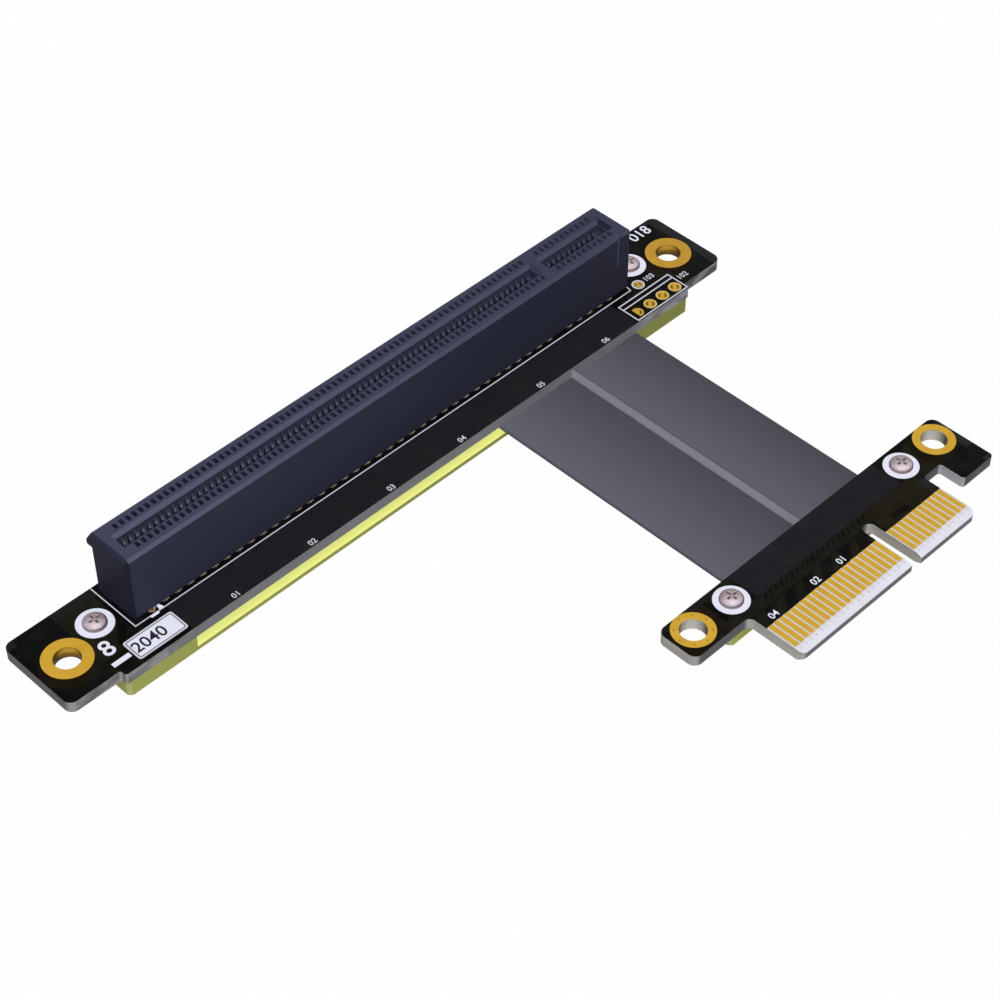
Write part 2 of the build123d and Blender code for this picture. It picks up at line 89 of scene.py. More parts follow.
class Value:
    """A shader socket that takes part in Python expressions."""

    def __init__(self, shader: "Tree", socket: bpy.types.NodeSocket) -> None:
        """Keeps the socket and the tree that it belongs to."""
        self.shader = shader
        self.socket = socket

    def math(self, operation: str, *others: "Value | float") -> "Value":
        """Adds one Math node."""
        return self.shader.node("ShaderNodeMath", {"operation": operation}, [self, *others])

    def __add__(self, other: "Value | float") -> "Value":
        """Sum."""
        return self.math("ADD", other)

    __radd__ = __add__

    def __mul__(self, other: "Value | float") -> "Value":
        """Product."""
        return self.math("MULTIPLY", other)

    __rmul__ = __mul__

    def __sub__(self, other: "Value | float") -> "Value":
        """Difference."""
        return self.math("SUBTRACT", other)

    def __rsub__(self, other: float) -> "Value":
        """Difference from a number."""
        return (self * -1.0) + other

    def __truediv__(self, other: float) -> "Value":
        """Quotient."""
        return self.math("DIVIDE", other)

    def __pow__(self, power: float) -> "Value":
        """Power."""
        return self.math("POWER", power)

    def __abs__(self) -> "Value":
        """Size without sign."""
        return self.math("ABSOLUTE")

    def over(self, limit: float) -> "Value":
        """One where this is over the limit, else zero."""
        return self.math("GREATER_THAN", limit)

    def under(self, limit: float) -> "Value":
        """One where this is under the limit, else zero."""
        return self.math("LESS_THAN", limit)

    def most(self, other: "Value | float") -> "Value":
        """The larger of two values."""
        return self.math("MAXIMUM", other)

    def ramp(self, low: float, high: float) -> "Value":
        """Zero at low, one at high and straight between."""
        settings = {"clamp": True}
        return self.shader.node("ShaderNodeMapRange", settings, {0: self, 1: low, 2: high, 3: 0.0, 4: 1.0})


class Tree:
    """A node tree in which every node is made by one method."""

    def __init__(self, tree: bpy.types.NodeTree) -> None:
        """Keeps the tree."""
        self.tree = tree

    def node(self, kind: str, settings: dict, inputs: Sequence | dict, output: int | str = 0) -> Value:
        """Adds a node, sets it up and feeds its sockets.

        Args:
            kind: Blender's name of the node type.
            settings: Properties that are set first.
            inputs: Values or links, in order or by socket name or number.
            output: The socket that is returned.

        Returns:
            The chosen output.
        """
        made = self.tree.nodes.new(kind)
        for key, setting in settings.items():
            setattr(made, key, setting)
        pairs = inputs.items() if isinstance(inputs, dict) else enumerate(inputs)
        for key, value in pairs:
            if isinstance(value, Value):
                self.tree.links.new(value.socket, made.inputs[key])
            else:
                made.inputs[key].default_value = value
        return Value(self, made.outputs[output])

    def seen(self) -> Value:
        """One where the camera looks, straight on, in a reflection or through glass.

        Returns:
            One or zero.
        """
        kinds = ("Is Camera Ray", "Is Glossy Ray", "Is Transmission Ray")
        camera, glossy, glass = (self.node("ShaderNodeLightPath", {}, {}, kind) for kind in kinds)
        return camera.most(glossy).most(glass)


class Shader(Tree):
    """A material under construction."""

    def __init__(self, name: str) -> None:
        """Makes an empty material with a Principled shader.

        Args:
            name: The material's name.
        """
        self.material = bpy.data.materials.new(name)
        self.material.use_nodes = True
        super().__init__(self.material.node_tree)
        self.tree.nodes.clear()
        self.output = self.tree.nodes.new("ShaderNodeOutputMaterial")
        self.principled = self.node("ShaderNodeBsdfPrincipled", {}, {}).socket.node
        self.show(Value(self, self.principled.outputs[0]))

    def show(self, surface: Value) -> None:
        """Makes a shader the one that the surface has."""
        self.tree.links.new(surface.socket, self.output.inputs["Surface"])

    def parts(self, kind: str) -> tuple[Value, Value, Value]:
        """One vector of the texture coordinates, split in three.

        Args:
            kind: The output of Texture Coordinate.

        Returns:
            Its three parts.
        """
        point = self.node("ShaderNodeTexCoord", {}, {}, kind)
        split = self.node("ShaderNodeSeparateXYZ", {}, [point]).socket.node
        return Value(self, split.outputs[0]), Value(self, split.outputs[1]), Value(self, split.outputs[2])

    def point(self) -> tuple[Value, Value, Value]:
        """The surface point in metres, split in three."""
        return self.parts("Object")

    def on_board(self, place: Placement) -> tuple[Value, Value, Value]:
        """The surface point in millimetres about the long board, split in three."""
        x, y, z = self.point()
        return x / MM, y / MM - place.back, z / MM - place.top

    def facing(self) -> tuple[Value, Value, Value]:
        """The surface direction in the object's own space, split in three."""
        return self.parts("Normal")

    def upright(self, limit: float) -> Value:
        """One on faces that turn up or down by less than the limit."""
        return abs(self.facing()[2]).under(limit)

    def towards(self, x: float, y: float) -> Value:
        """How far the surface turns towards a level direction, from minus one to one."""
        across, along, _ = self.facing()
        return across * x + along * y

    def corner(self, low: float, high: float) -> Value:
        """How far a rounded upright corner turns both left and to the front, from low to high."""
        across, along, _ = self.facing()
        return (across * along).ramp(low, high) * across.under(0.0)

    def noise(self, scale: float, detail: float, stretch: tuple = (1.0, 1.0, 1.0)) -> Value:
        """Even noise in the object's own space.

        Args:
            scale: Lumps in a metre.
            detail: Octaves.
            stretch: Extra scale along each axis.

        Returns:
            A value about 0.5.
        """
        point = self.node("ShaderNodeTexCoord", {}, {}, "Object")
        spread = self.node("ShaderNodeVectorMath", {"operation": "MULTIPLY"}, [point, stretch])
        return self.node("ShaderNodeTexNoise", {}, {"Vector": spread, "Scale": scale, "Detail": detail})

    def mix(self, factor: Value | float, first: Value | tuple, second: Value | tuple) -> Value:
        """Blends two colours.

        Args:
            factor: Share of the second.
            first: A colour or link.
            second: A colour or link.

        Returns:
            The blended colour.
        """
        ends = {6: first if isinstance(first, Value) else (*first[:3], 1.0)}
        ends[7] = second if isinstance(second, Value) else (*second[:3], 1.0)
        return self.node("ShaderNodeMix", {"data_type": "RGBA"}, {0: factor, **ends}, 2)

    def layers(self, base: Value | tuple, *coats: tuple) -> Value:
        """Lays tones over a colour, one after the other.

        Args:
            base: The first colour.
            coats: Pairs of a share and the colour that it gets.

        Returns:
            The colour.
        """
        for share, tone in coats:
            base = self.mix(share, base, tone)
        return base

    def bump(self, height: Value, strength: float, distance: float) -> Value:
        """Turns a relief from zero to one into a surface direction. The distance is in metres."""
        return self.node("ShaderNodeBump", {}, {"Height": height, "Strength": strength, "Distance": distance})

    def finish(self, **sockets: Value | float | tuple) -> None:
        """Feeds the Principled shader.

        Args:
            sockets: Socket names with underscores for spaces.
        """
        for name, value in sockets.items():
            socket = self.principled.inputs[name.replace("_", " ")]
            if isinstance(value, Value):
                self.tree.links.new(value.socket, socket)
            elif isinstance(value, tuple):
                socket.default_value = (*value[:3], 1.0)
            else:
                socket.default_value = value


def srgb(red: float, green: float, blue: float) -> tuple[float, float, float]:
    """Linear colour of a screen colour whose parts run from 0 to 255."""
    parts = [channel / 255 for channel in (red, green, blue)]
    return tuple(p / 12.92 if p <= 0.04045 else ((p + 0.055) / 1.055) ** 2.4 for p in parts)


@dataclass(frozen=True)
class Patch:
    """A rectangle of a board's mask with a tone of its own, in millimetres."""

    left: float
    right: float
    front: float
    back: float
    tone: tuple = ()
    soft: float = 0.1
    streak: float = 0.0

    def share(self, x: Value, y: Value) -> Value:
        """How far a point lies inside, from zero to one.

        Args:
            x: Place along the socket.
            y: Place away from the small board.

        Returns:
            The share of this tone.
        """
        soft = self.soft
        across = x.ramp(self.left - soft, self.left + soft) * x.ramp(self.right + soft, self.right - soft)
        along = y.ramp(self.front - soft, self.front + soft) * y.ramp(self.back + soft, self.back - soft)
        inside = across * along
        if self.streak:
            wave = ((x - y * 0.8) * (2 * math.pi / self.streak)).math("SINE")
            inside = inside * wave.ramp(-0.1, 0.5)
        return inside


@dataclass(frozen=True)
class Spot:
    """A round area of a board's mask with a tone of its own, in millimetres."""

    x: float
    y: float
    radius: float
    tone: tuple = ()
    soft: float = 0.12

    def share(self, x: Value, y: Value) -> Value:
        """How far a point lies inside, from zero to one."""
        reach = ((x - self.x) ** 2.0 + (y - self.y) ** 2.0) ** 0.5
        return reach.ramp(self.radius + self.soft, self.radius - self.soft)


MAIN_TONES = (
    Patch(-60.0, -51.3, -10.0, 5.0, srgb(11, 11, 11)),
    Patch(-60.0, -57.6, -9.0, 3.0, srgb(7, 7, 8), 0.3),
    Patch(-58.6, -57.0, 3.3, 5.0, srgb(30, 30, 30)),
    Spot(-54.5, -3.5, 3.75, srgb(23, 16, 6)),
    Patch(-51.3, -44.7, -10.0, 3.0, srgb(24, 24, 15)),
    Patch(-51.3, -44.7, 3.0, 5.0, srgb(28, 28, 27)),
    Patch(-51.2, -47.9, -10.0, -6.2, srgb(14, 14, 7)),
    Patch(-50.5, -48.6, -10.0, -8.0, srgb(6, 6, 5), 0.3),
    Patch(-47.8, -44.9, -4.8, -1.4, srgb(8, 8, 8), 0.2, 3.4),
    Patch(-45.4, -44.7, -4.9, 3.0, srgb(8, 8, 9)),
    Patch(-48.0, -40.0, -10.0, -4.7, srgb(9, 9, 8)),
    Patch(-44.6, 44.4, -4.3, 4.4, srgb(9, 9, 10)),
    Patch(-40.0, 39.9, -10.0, -4.6, srgb(29, 28, 32)),
    Patch(40.0, 50.4, -9.9, -4.5, srgb(7, 7, 7)),
    Patch(41.0, 46.5, -5.5, -4.6, srgb(20, 19, 9), 0.1, 1.3),
    Patch(41.0, 49.6, -9.3, -6.9, srgb(16, 12, 8), 0.1, 1.1),
    Patch(44.4, 50.6, -4.6, 3.0, srgb(9, 9, 9)),
    Patch(49.0, 52.6, -6.7, -2.6, srgb(26, 24, 13), 0.2),
    Patch(50.4, 57.0, -9.0, -6.7, srgb(15, 14, 14)),
    Patch(50.5, 57.0, 0.5, 2.3, srgb(13, 13, 12)),
    Patch(51.5, 57.0, 2.3, 5.0, srgb(8, 8, 8)),
    Patch(56.9, 58.6, -9.0, 5.0, srgb(38, 38, 38)),
    Patch(54.9, 58.6, 3.7, 5.0, srgb(33, 33, 33)),
    Spot(53.4, -3.5, 3.7, srgb(23, 17, 8)),
)
CARD_TONES = (
    Patch(12.8, 41.0, -55.1, -50.0, srgb(30, 30, 34)),
    Patch(5.9, 47.4, -56.9, -55.1, srgb(23, 23, 17)),
    Patch(13.0, 41.0, -56.1, -55.2, srgb(8, 8, 8), 0.1, 1.0),
    Patch(9.5, 44.0, -59.4, -57.0, srgb(9, 9, 9)),
    Patch(9.6, 33.0, -59.1, -57.1, srgb(22, 21, 13), 0.1, 3.5),
    Patch(33.2, 42.9, -59.2, -55.2, srgb(27, 24, 14)),
    Patch(35.4, 38.4, -58.8, -57.8, srgb(10, 9, 11), 0.2),
    Patch(42.6, 43.9, -59.2, -56.6, srgb(33, 33, 35)),
    Patch(5.9, 9.7, -56.9, -51.1, srgb(24, 22, 14)),
    Patch(7.0, 7.9, -55.1, -51.0, srgb(7, 7, 6), 0.2),
    Patch(-0.5, 12.8, -51.1, -50.0, srgb(26, 26, 25)),
    Patch(5.7, 6.6, -55.0, -51.2, srgb(27, 19, 8), 0.2),
    Spot(2.6, -54.1, 3.4, srgb(22, 15, 6)),
    Patch(45.9, 48.0, -56.9, -51.2, srgb(28, 24, 10)),
    Patch(47.3, 53.8, -60.6, -57.0, srgb(13, 13, 13)),
    Patch(52.3, 53.8, -57.0, -51.2, srgb(38, 38, 38)),
    Patch(52.2, 53.8, -60.6, -59.8, srgb(38, 38, 38)),
    Spot(49.6, -53.8, 3.2, srgb(20, 15, 7)),
)


@dataclass(frozen=True)
class Finish:
    """The look of one material."""

    name: str

    def build(self) -> bpy.types.Material:
        """Makes the material.

        Returns:
            The finished material.
        """
        shader = Shader(self.name)
        self.paint(shader)
        return shader.material

    def paint(self, shader: Shader) -> None:
        """Feeds the material's shader."""
        raise NotImplementedError


@dataclass(frozen=True)
class BoardFinish(Finish):
    """Black mask with copper showing through, marbled laminate on the edges and beyond the mask.

    Its edges have one tone to the front, one to the left and others from far_from on: lit and
    shaded copies of one laminate that paint light and shade by the way each edge faces and
    where it lies. Corners that turn left and to the front get a painted highlight, the walls
    of the holes painted light from the left front, and left-facing edges a reflection through
    Metallic. Sizes are in millimetres.
    """

    place: Placement
    tones: tuple
    front: tuple
    left: tuple
    holes: tuple = ()
    bare_below: float | None = None
    bare_left_of: float = 44.2
    bare_tip_run: tuple = (-63.6, -64.0)
    tip_below: float = -1000.0
    veined: float = 0.35
    veined_run: tuple = (39.0, 42.0)
    glint: float = 0.0
    glint_from: float = 1.0
    far_from: float = 51.0
    wander: float = 0.3
    wall_radius: float = 2.2
    far_front: tuple = srgb(120, 121, 123)
    far_left: tuple | None = None
    mask: tuple = srgb(12, 12, 12)
    dust: tuple = srgb(60, 58, 56)
    tip: tuple = srgb(150, 151, 153)
    corner: tuple = srgb(222, 222, 224)
    bare: tuple = srgb(206, 202, 197)
    bare_tip: tuple = srgb(226, 225, 238)
    bare_cloud: tuple = srgb(200, 198, 200)
    marble: tuple = srgb(118, 122, 118)
    vein: tuple = srgb(230, 229, 236)
    pore: tuple = srgb(92, 90, 70)
    wall: tuple = srgb(138, 132, 122)
    wall_lit: tuple = srgb(255, 252, 247)

    def paint(self, shader: Shader) -> None:
        """Lays mask on the flat faces and laminate on the edges.

        Args:
            shader: The material under construction.
        """
        x, y, _ = shader.on_board(self.place)
        wander = (shader.noise(scale=900.0, detail=2.0) - 0.5) * self.wander
        x, y = x + wander, y + wander
        cloud = shader.noise(scale=420.0, detail=4.0)
        marble = shader.noise(scale=330.0, detail=4.0, stretch=(0.6, 0.6, 2.2))
        side = shader.upright(0.6)
        colour = shader.mix(side, self.faces(shader, x, y, cloud), self.edges(shader, x, y, marble))
        across, _, _ = shader.facing()
        # Metallic on left-facing edges, set by glint, brightens them with a reflection.
        shader.finish(
            Base_Color=colour,
            Roughness=side * 0.3 + 0.42,
            Metallic=across.ramp(-0.3, -0.7) * x.over(self.glint_from) * side * self.glint,
            Normal=shader.bump(marble * 0.5 + cloud * 0.5, strength=0.12, distance=0.00002),
            Specular_IOR_Level=0.02,
        )

    def faces(self, shader: Shader, x: Value, y: Value, cloud: Value) -> Value:
        """Colour of the flat faces: mask with its tones, bare laminate in front of it.

        Args:
            shader: The material under construction.
            x: Place along the socket.
            y: Place away from the small board.
            cloud: Soft noise.

        Returns:
            The colour.
        """
        tones = ((tone.share(x, y), tone.tone) for tone in self.tones)
        colour = shader.layers(self.mask, *tones, (cloud.ramp(0.45, 0.75) * 0.12, self.dust))
        if self.bare_below is None:
            return colour
        clouds = cloud.ramp(0.3, 0.8) * 0.3
        tip = y.ramp(*self.bare_tip_run)
        bare = shader.layers(self.bare, (tip, self.bare_tip), (clouds, self.bare_cloud))
        return shader.mix(y.under(self.bare_below) * x.under(self.bare_left_of), colour, bare)

    def edges(self, shader: Shader, x: Value, y: Value, marble: Value) -> Value:
        """Colour of the cut edges and of the bare walls of the holes.

        Args:
            shader: The material under construction.
            x: Place along the socket.
            y: Place away from the small board.
            marble: Soft noise.

        Returns:
            The colour.
        """
        across, along, _ = shader.facing()
        far = x.over(self.far_from)
        grain = shader.noise(scale=620.0, detail=2.0, stretch=(0.45, 1.0, 1.3))
        outer = abs(x).ramp(*self.veined_run) * along.ramp(-0.4, -0.8) * self.veined
        # Painted light on the hole walls, bright where they face the left front.
        lit = shader.mix(shader.towards(*LIT_FROM).ramp(0.45, 0.97), self.wall, self.wall_lit)
        # Front, left and far tones paint light and shade by facing and place; corner is a painted highlight.
        return shader.layers(
            self.front,
            (y.under(self.tip_below), self.tip),
            (far, self.far_front),
            (across.under(-FACING), shader.mix(far, self.left, self.far_left or self.left)),
            (shader.corner(0.12, 0.45) * 0.7, self.corner),
            (marble.ramp(0.35, 0.7) * 0.22, self.marble),
            (grain.ramp(0.5, 0.56) * outer, self.vein),
            (grain.ramp(0.42, 0.36) * outer, self.pore),
            *((Spot(*centre, self.wall_radius).share(x, y), lit) for centre in self.holes),
        )


@dataclass(frozen=True)
class HousingFinish(Finish):
    """Moulded blue-black thermoplastic with a fine spark-eroded grain.

    Painted light and shade run along the socket from its left end to its key end, and down
    inside its mouth: painted highlights on the chamfers, lead-in slopes, corners and slit walls,
    painted shade on the tops, sides, left end and throat, and lighter painted tones in the cells
    and on the ribs. A run holds where one starts and where it is complete, in millimetres.
    """

    place: Placement
    run: tuple = (-44.0, 40.0)
    flat_run: tuple = (-110.0, 185.0)
    side_run: tuple = (-45.0, 45.0)
    lip_run: tuple = (10.08, 10.26)
    throat_run: tuple = (9.57, 9.49)
    rib_run: tuple = (8.9, 7.4)
    level: float = 0.97
    leaning: float = -0.2
    inner_length: float = 42.9
    inner_width: float = 3.1
    cell_width: float = 1.2
    end_left_of: float = -43.0
    end_behind: float = -3.7
    slit_from: float = 35.0
    slit_front: float = -3.55
    slit_back: float = -2.95
    base: tuple = srgb(69, 71, 91)
    wear_and_highlight: tuple = srgb(76, 78, 100)
    slope: tuple = srgb(89, 92, 115)
    slope_far: tuple = srgb(69, 71, 90)
    lead_in: tuple = srgb(101, 104, 131)
    lead_in_far: tuple = srgb(83, 86, 108)
    cell: tuple = srgb(66, 70, 100)
    cell_far: tuple = srgb(98, 102, 132)
    rib: tuple = srgb(84, 88, 114)
    rib_low: tuple = srgb(120, 124, 154)
    depth: tuple = srgb(44, 46, 62)
    corner: tuple = srgb(120, 122, 148)
    shade: tuple = srgb(46, 48, 66)
    end: tuple = srgb(48, 50, 69)
    slit: tuple = srgb(128, 132, 160)

    def paint(self, shader: Shader) -> None:
        """Lays the painted light and shade of top, slopes, walls and cavities over each other.

        Args:
            shader: The material under construction.
        """
        x, y, z = shader.on_board(self.place)
        across, along, up = shader.facing()
        grain = shader.noise(scale=5200.0, detail=2.0)
        flow = shader.noise(scale=140.0, detail=3.0, stretch=(0.35, 1.0, 1.0))
        run = x.ramp(*self.run)
        base = shader.mix(flow.ramp(0.3, 0.75) * 0.35, self.base, self.wear_and_highlight)
        # Painted shade on the top faces, growing towards the key end.
        flat = shader.mix(x.ramp(*self.flat_run), base, self.shade)
        # Painted highlight on the outer chamfers, weaker towards the key end.
        outer = shader.mix(run, self.slope, self.slope_far)
        # Painted highlight on the lead-in slopes, with painted shade low in the throat.
        lead_in = shader.layers(
            self.lead_in,
            (run, self.lead_in_far),
            (z.ramp(*self.lip_run) * 0.75, flat),
            (z.ramp(*self.throat_run), self.depth),
        )
        slope = up.ramp(0.3, 0.5) * up.ramp(self.level, 0.87)
        slope = slope * along.under(self.leaning).most(across.under(self.leaning))
        side = shader.upright(0.3)
        slit = x.over(self.slit_from) * y.over(self.slit_front) * y.under(self.slit_back) * side
        # Lighter painted tones in the cells, towards the key end, and on the ribs, low down.
        cell = shader.mix(run, self.cell, self.cell_far)
        rib = shader.mix(z.ramp(*self.rib_run), self.rib, self.rib_low)
        # Painted shade on the sides towards the key end and on the left end; painted highlights on the front
        # left corners and on the slit walls that face left and front.
        colour = shader.layers(
            base,
            (up.over(self.level), flat),
            (slope, shader.mix(y.over(0.0), outer, lead_in)),
            (side * x.ramp(*self.side_run) * 0.6, self.shade),
            (shader.corner(0.2, 0.4) * side, self.corner),
            (across.under(-FACING) * y.over(self.end_behind) * x.under(self.end_left_of), self.end),
            (slit * (across.under(-FACING) + along.under(-FACING)), self.slit),
            (
                side * abs(y).under(self.inner_width) * abs(x).under(self.inner_length),
                shader.mix(abs(y).under(self.cell_width), cell, rib),
            ),
        )
        relief = shader.bump(grain, strength=0.18, distance=0.000012)
        shader.finish(Base_Color=colour, Roughness=grain * 0.12 + 0.5, Normal=relief, Specular_IOR_Level=0.03)


@dataclass(frozen=True)
class MetalFinish(Finish):
    """Plated or plain metal with faint polishing marks."""

    bright: tuple
    dull: tuple
    roughness: float = 0.3
    metallic: float = 1.0

    def paint(self, shader: Shader) -> None:
        """Clouds the metal between its two tones.

        Args:
            shader: The material under construction.
        """
        cloud = shader.noise(scale=700.0, detail=3.0)
        marks = shader.noise(scale=3500.0, detail=2.0)
        colour = shader.mix(cloud.ramp(0.3, 0.75), self.bright, self.dull)
        rough = marks * 0.12 + (self.roughness - 0.06)
        relief = shader.bump(marks, strength=0.08, distance=0.00001)
        shader.finish(Base_Color=colour, Roughness=rough, Normal=relief, Metallic=self.metallic)


@dataclass(frozen=True)
class SpringFinish(Finish):
    """Contact springs: a painted highlight in the middle of each spring and towards its lower
    end, weaker towards the key end, dull elsewhere.

    A run holds where a tone starts and where it is complete, in millimetres.
    """

    place: Placement
    run: tuple = (-44.0, 40.0)
    phase: float = 0.8
    middle_run: tuple = (0.21, 0.08)
    height_run: tuple = (8.85, 8.1)
    dull: tuple = srgb(50, 52, 68)
    wear_and_highlight: tuple = srgb(148, 150, 175)
    far_highlight: tuple = srgb(110, 112, 134)

    def paint(self, shader: Shader) -> None:
        """Paints a highlight on the middle of every spring, one to a millimetre.

        Args:
            shader: The material under construction.
        """
        x, _, z = shader.on_board(self.place)
        off = abs((x + self.phase).math("FRACT") - 0.5)
        # Painted highlight in the middle of each spring and towards its lower end.
        lit_middle = off.ramp(*self.middle_run) * z.ramp(*self.height_run)
        marks = shader.noise(scale=3500.0, detail=2.0)
        bright = shader.mix(x.ramp(*self.run), self.wear_and_highlight, self.far_highlight)
        colour = shader.layers(self.dull, (lit_middle, bright), (marks.ramp(0.4, 0.7) * 0.15, self.dull))
        relief = shader.bump(marks, strength=0.08, distance=0.00001)
        shader.finish(Base_Color=colour, Roughness=marks * 0.12 + 0.44, Normal=relief, Metallic=0.15)


@dataclass(frozen=True)
class BoreFinish(Finish):
    """Plating inside a hole, with painted light where the wall faces the left front and painted shade
    elsewhere.
    """

    bright: tuple = srgb(232, 182, 68)
    dull: tuple = srgb(98, 74, 18)

    def paint(self, shader: Shader) -> None:
        """Paints light and shade on the wall, bright where it faces the left front.

        Args:
            shader: The material under construction.
        """
        marks = shader.noise(scale=2600.0, detail=2.0, stretch=(1.0, 1.0, 0.3))
        # Painted light and shade round the wall.
        colour = shader.mix(shader.towards(*LIT_FROM).ramp(0.5, 1.0), self.dull, self.bright)
        relief = shader.bump(marks, strength=0.1, distance=0.00001)
        shader.finish(Base_Color=colour, Roughness=marks * 0.1 + 0.5, Normal=relief, Specular_IOR_Level=0.1)


@dataclass(frozen=True)
class ScrewFinish(Finish):
    """Plated steel screw heads with a painted highlight towards the left front and painted shade
    round the rim and in the cross recess. Sizes are in millimetres.
    """

    place: Placement
    centres: tuple
    head: float = 1.59
    crown: float = 1.47
    crown_shift: Point = (-0.11, -0.01)
    arm: float = 0.84
    arm_width: float = 0.15
    hub: float = 0.26
    body: tuple = srgb(154, 140, 145)
    bright: tuple = srgb(190, 175, 182)
    rim: tuple = srgb(88, 74, 80)
    recess: tuple = srgb(78, 66, 72)

    def paint(self, shader: Shader) -> None:
        """Paints light on the dome from the left front and paints shade on every rim and cross.

        Args:
            shader: The material under construction.
        """
        x, y, _ = shader.on_board(self.place)
        marks = shader.noise(scale=3200.0, detail=3.0)
        # Painted highlight where the dome turns to the left front.
        colour = shader.mix(shader.towards(-0.6, -0.8).ramp(-0.05, 0.28), self.body, self.bright)
        colour = shader.mix(marks.ramp(0.4, 0.7) * 0.15, colour, self.rim)
        for left, front in self.centres:
            head = Spot(left, front, self.head, soft=0.01).share(x, y)
            crown_at = left + self.crown_shift[0], front + self.crown_shift[1]
            crown = Spot(*crown_at, self.crown, soft=0.09).share(x, y)
            # Painted shade round the rim, wider on the right.
            colour = shader.mix(head * (1 - crown), colour, self.rim)
            hub = Spot(left, front, self.hub, soft=0.08).share(x, y)
            for wide, tall in ((self.arm, self.arm_width), (self.arm_width, self.arm)):
                arm = Patch(left - wide, left + wide, front - tall, front + tall, soft=0.06).share(x, y)
                # Painted shade in the arms of the cross recess.
                colour = shader.mix(arm * (1 - hub), colour, self.recess)
        relief = shader.bump(marks, strength=0.1, distance=0.00001)
        shader.finish(Base_Color=colour, Roughness=marks * 0.1 + 0.58, Normal=relief, Metallic=0.5)


@dataclass(frozen=True)
class InkFinish(Finish):
    """Screen ink with a slightly uneven coat."""

    tone: tuple
    thin: tuple

    def paint(self, shader: Shader) -> None:
        """Thins the ink in places.

        Args:
            shader: The material under construction.
        """
        coat = shader.noise(scale=2400.0, detail=3.0)
        colour = shader.mix(coat.ramp(0.3, 0.8) * 0.4, self.tone, self.thin)
        relief = shader.bump(coat, strength=0.15, distance=0.000008)
        shader.finish(Base_Color=colour, Roughness=0.6, Normal=relief, Specular_IOR_Level=0.05)


class Ink(Enum):
    """The screen inks."""

    WHITE = InkFinish("screen_ink", srgb(229, 230, 246), srgb(214, 214, 232))
    LINE = InkFinish("line_ink", srgb(206, 206, 217), srgb(190, 190, 204))
    DARK = InkFinish("dark_ink", srgb(34, 34, 42), srgb(48, 48, 58))


@dataclass(frozen=True)
class CoverFinish(Finish):
    """Yellow-green moulded insulating plastic, with painted light on faces that turn up, painted
    shade on its walls towards its right end and a painted highlight on its front left corners.
    """

    left: float
    right: float
    tone: tuple = srgb(218, 222, 126)
    thin: tuple = srgb(210, 215, 114)
    far: tuple = srgb(168, 174, 92)
    corner: tuple = srgb(244, 246, 180)
    floor: tuple = srgb(251, 255, 147)

    def paint(self, shader: Shader) -> None:
        """Lays the painted light and shade of walls, floor and corners over each other.

        Args:
            shader: The material under construction.
        """
        x, _, _ = shader.point()
        _, _, up = shader.facing()
        flow = shader.noise(scale=160.0, detail=3.0, stretch=(0.3, 1.0, 1.0))
        grain = shader.noise(scale=4200.0, detail=2.0)
        side = shader.upright(FACING)
        # Painted light on faces that turn up, painted shade on the walls towards the right end, painted
        # highlight on the front left corners.
        colour = shader.layers(
            self.tone,
            (flow.ramp(0.3, 0.75), self.thin),
            (up.over(FACING), self.floor),
            (side * x.ramp(self.left, self.right), self.far),
            (shader.corner(0.2, 0.4) * side * 0.7, self.corner),
        )
        relief = shader.bump(grain, strength=0.12, distance=0.00001)
        shader.finish(Base_Color=colour, Roughness=grain * 0.1 + 0.45, Normal=relief, Specular_IOR_Level=0.04)


@dataclass(frozen=True)
class RibbonFinish(Finish):
    """Grey ribbon jacket: fine lengthwise ribs, with painted shade to the right and along the left
    margin and a painted highlight on the edge that faces left.
    """

    left: float
    right: float
    lip: tuple
    light: tuple = srgb(99, 100, 111)
    dark: tuple = srgb(73, 73, 81)
    groove: tuple = srgb(56, 57, 64)
    margin: tuple = srgb(70, 71, 78)
    rib: float = 0.32
    margin_from: float = 0.35
    margin_full: float = 0.15

    def paint(self, shader: Shader) -> None:
        """Draws the ribs and fibres, paints shade to the right and along the left margin, and paints
        a highlight on the edge that faces left.

        Args:
            shader: The material under construction.
        """
        x, _, _ = shader.point()
        facing, _, _ = shader.facing()
        ribs = (x * (2 * math.pi / (self.rib * MM))).math("SINE") * 0.5 + 0.5
        fibre = shader.noise(scale=900.0, detail=3.0, stretch=(6.0, 0.15, 6.0))
        margin = x.ramp(self.left + self.margin_from * MM, self.left + self.margin_full * MM)
        lip = facing.under(-FACING)
        # Painted shade across the ribbon towards its right side and along its left margin; painted highlight
        # on the lip that faces left, helped by a little Metallic.
        colour = shader.layers(
            self.light,
            (x.ramp(self.left, self.right), self.dark),
            (ribs * 0.05 + fibre.ramp(0.3, 0.8) * 0.1, self.groove),
            (margin * 0.5, self.margin),
            (lip, self.lip),
        )
        shader.finish(
            Base_Color=colour,
            Roughness=fibre * 0.15 + 0.5,
            Metallic=lip * 0.05,
            Normal=shader.bump(ribs * 0.7 + fibre * 0.3, strength=0.25, distance=0.00002),
            Specular_IOR_Level=0.03,
        )


@dataclass(frozen=True)
class ResinFinish(Finish):
    """Dull potting over soldered wire ends."""

    tone: tuple = srgb(58, 56, 52)
    pale: tuple = srgb(78, 74, 66)

    def paint(self, shader: Shader) -> None:
        """Clouds the resin between its two tones.

        Args:
            shader: The material under construction.
        """
        cloud = shader.noise(scale=900.0, detail=4.0)
        colour = shader.mix(cloud, self.tone, self.pale)
        relief = shader.bump(cloud, strength=0.4, distance=0.00006)
        shader.finish(Base_Color=colour, Roughness=0.5, Normal=relief)


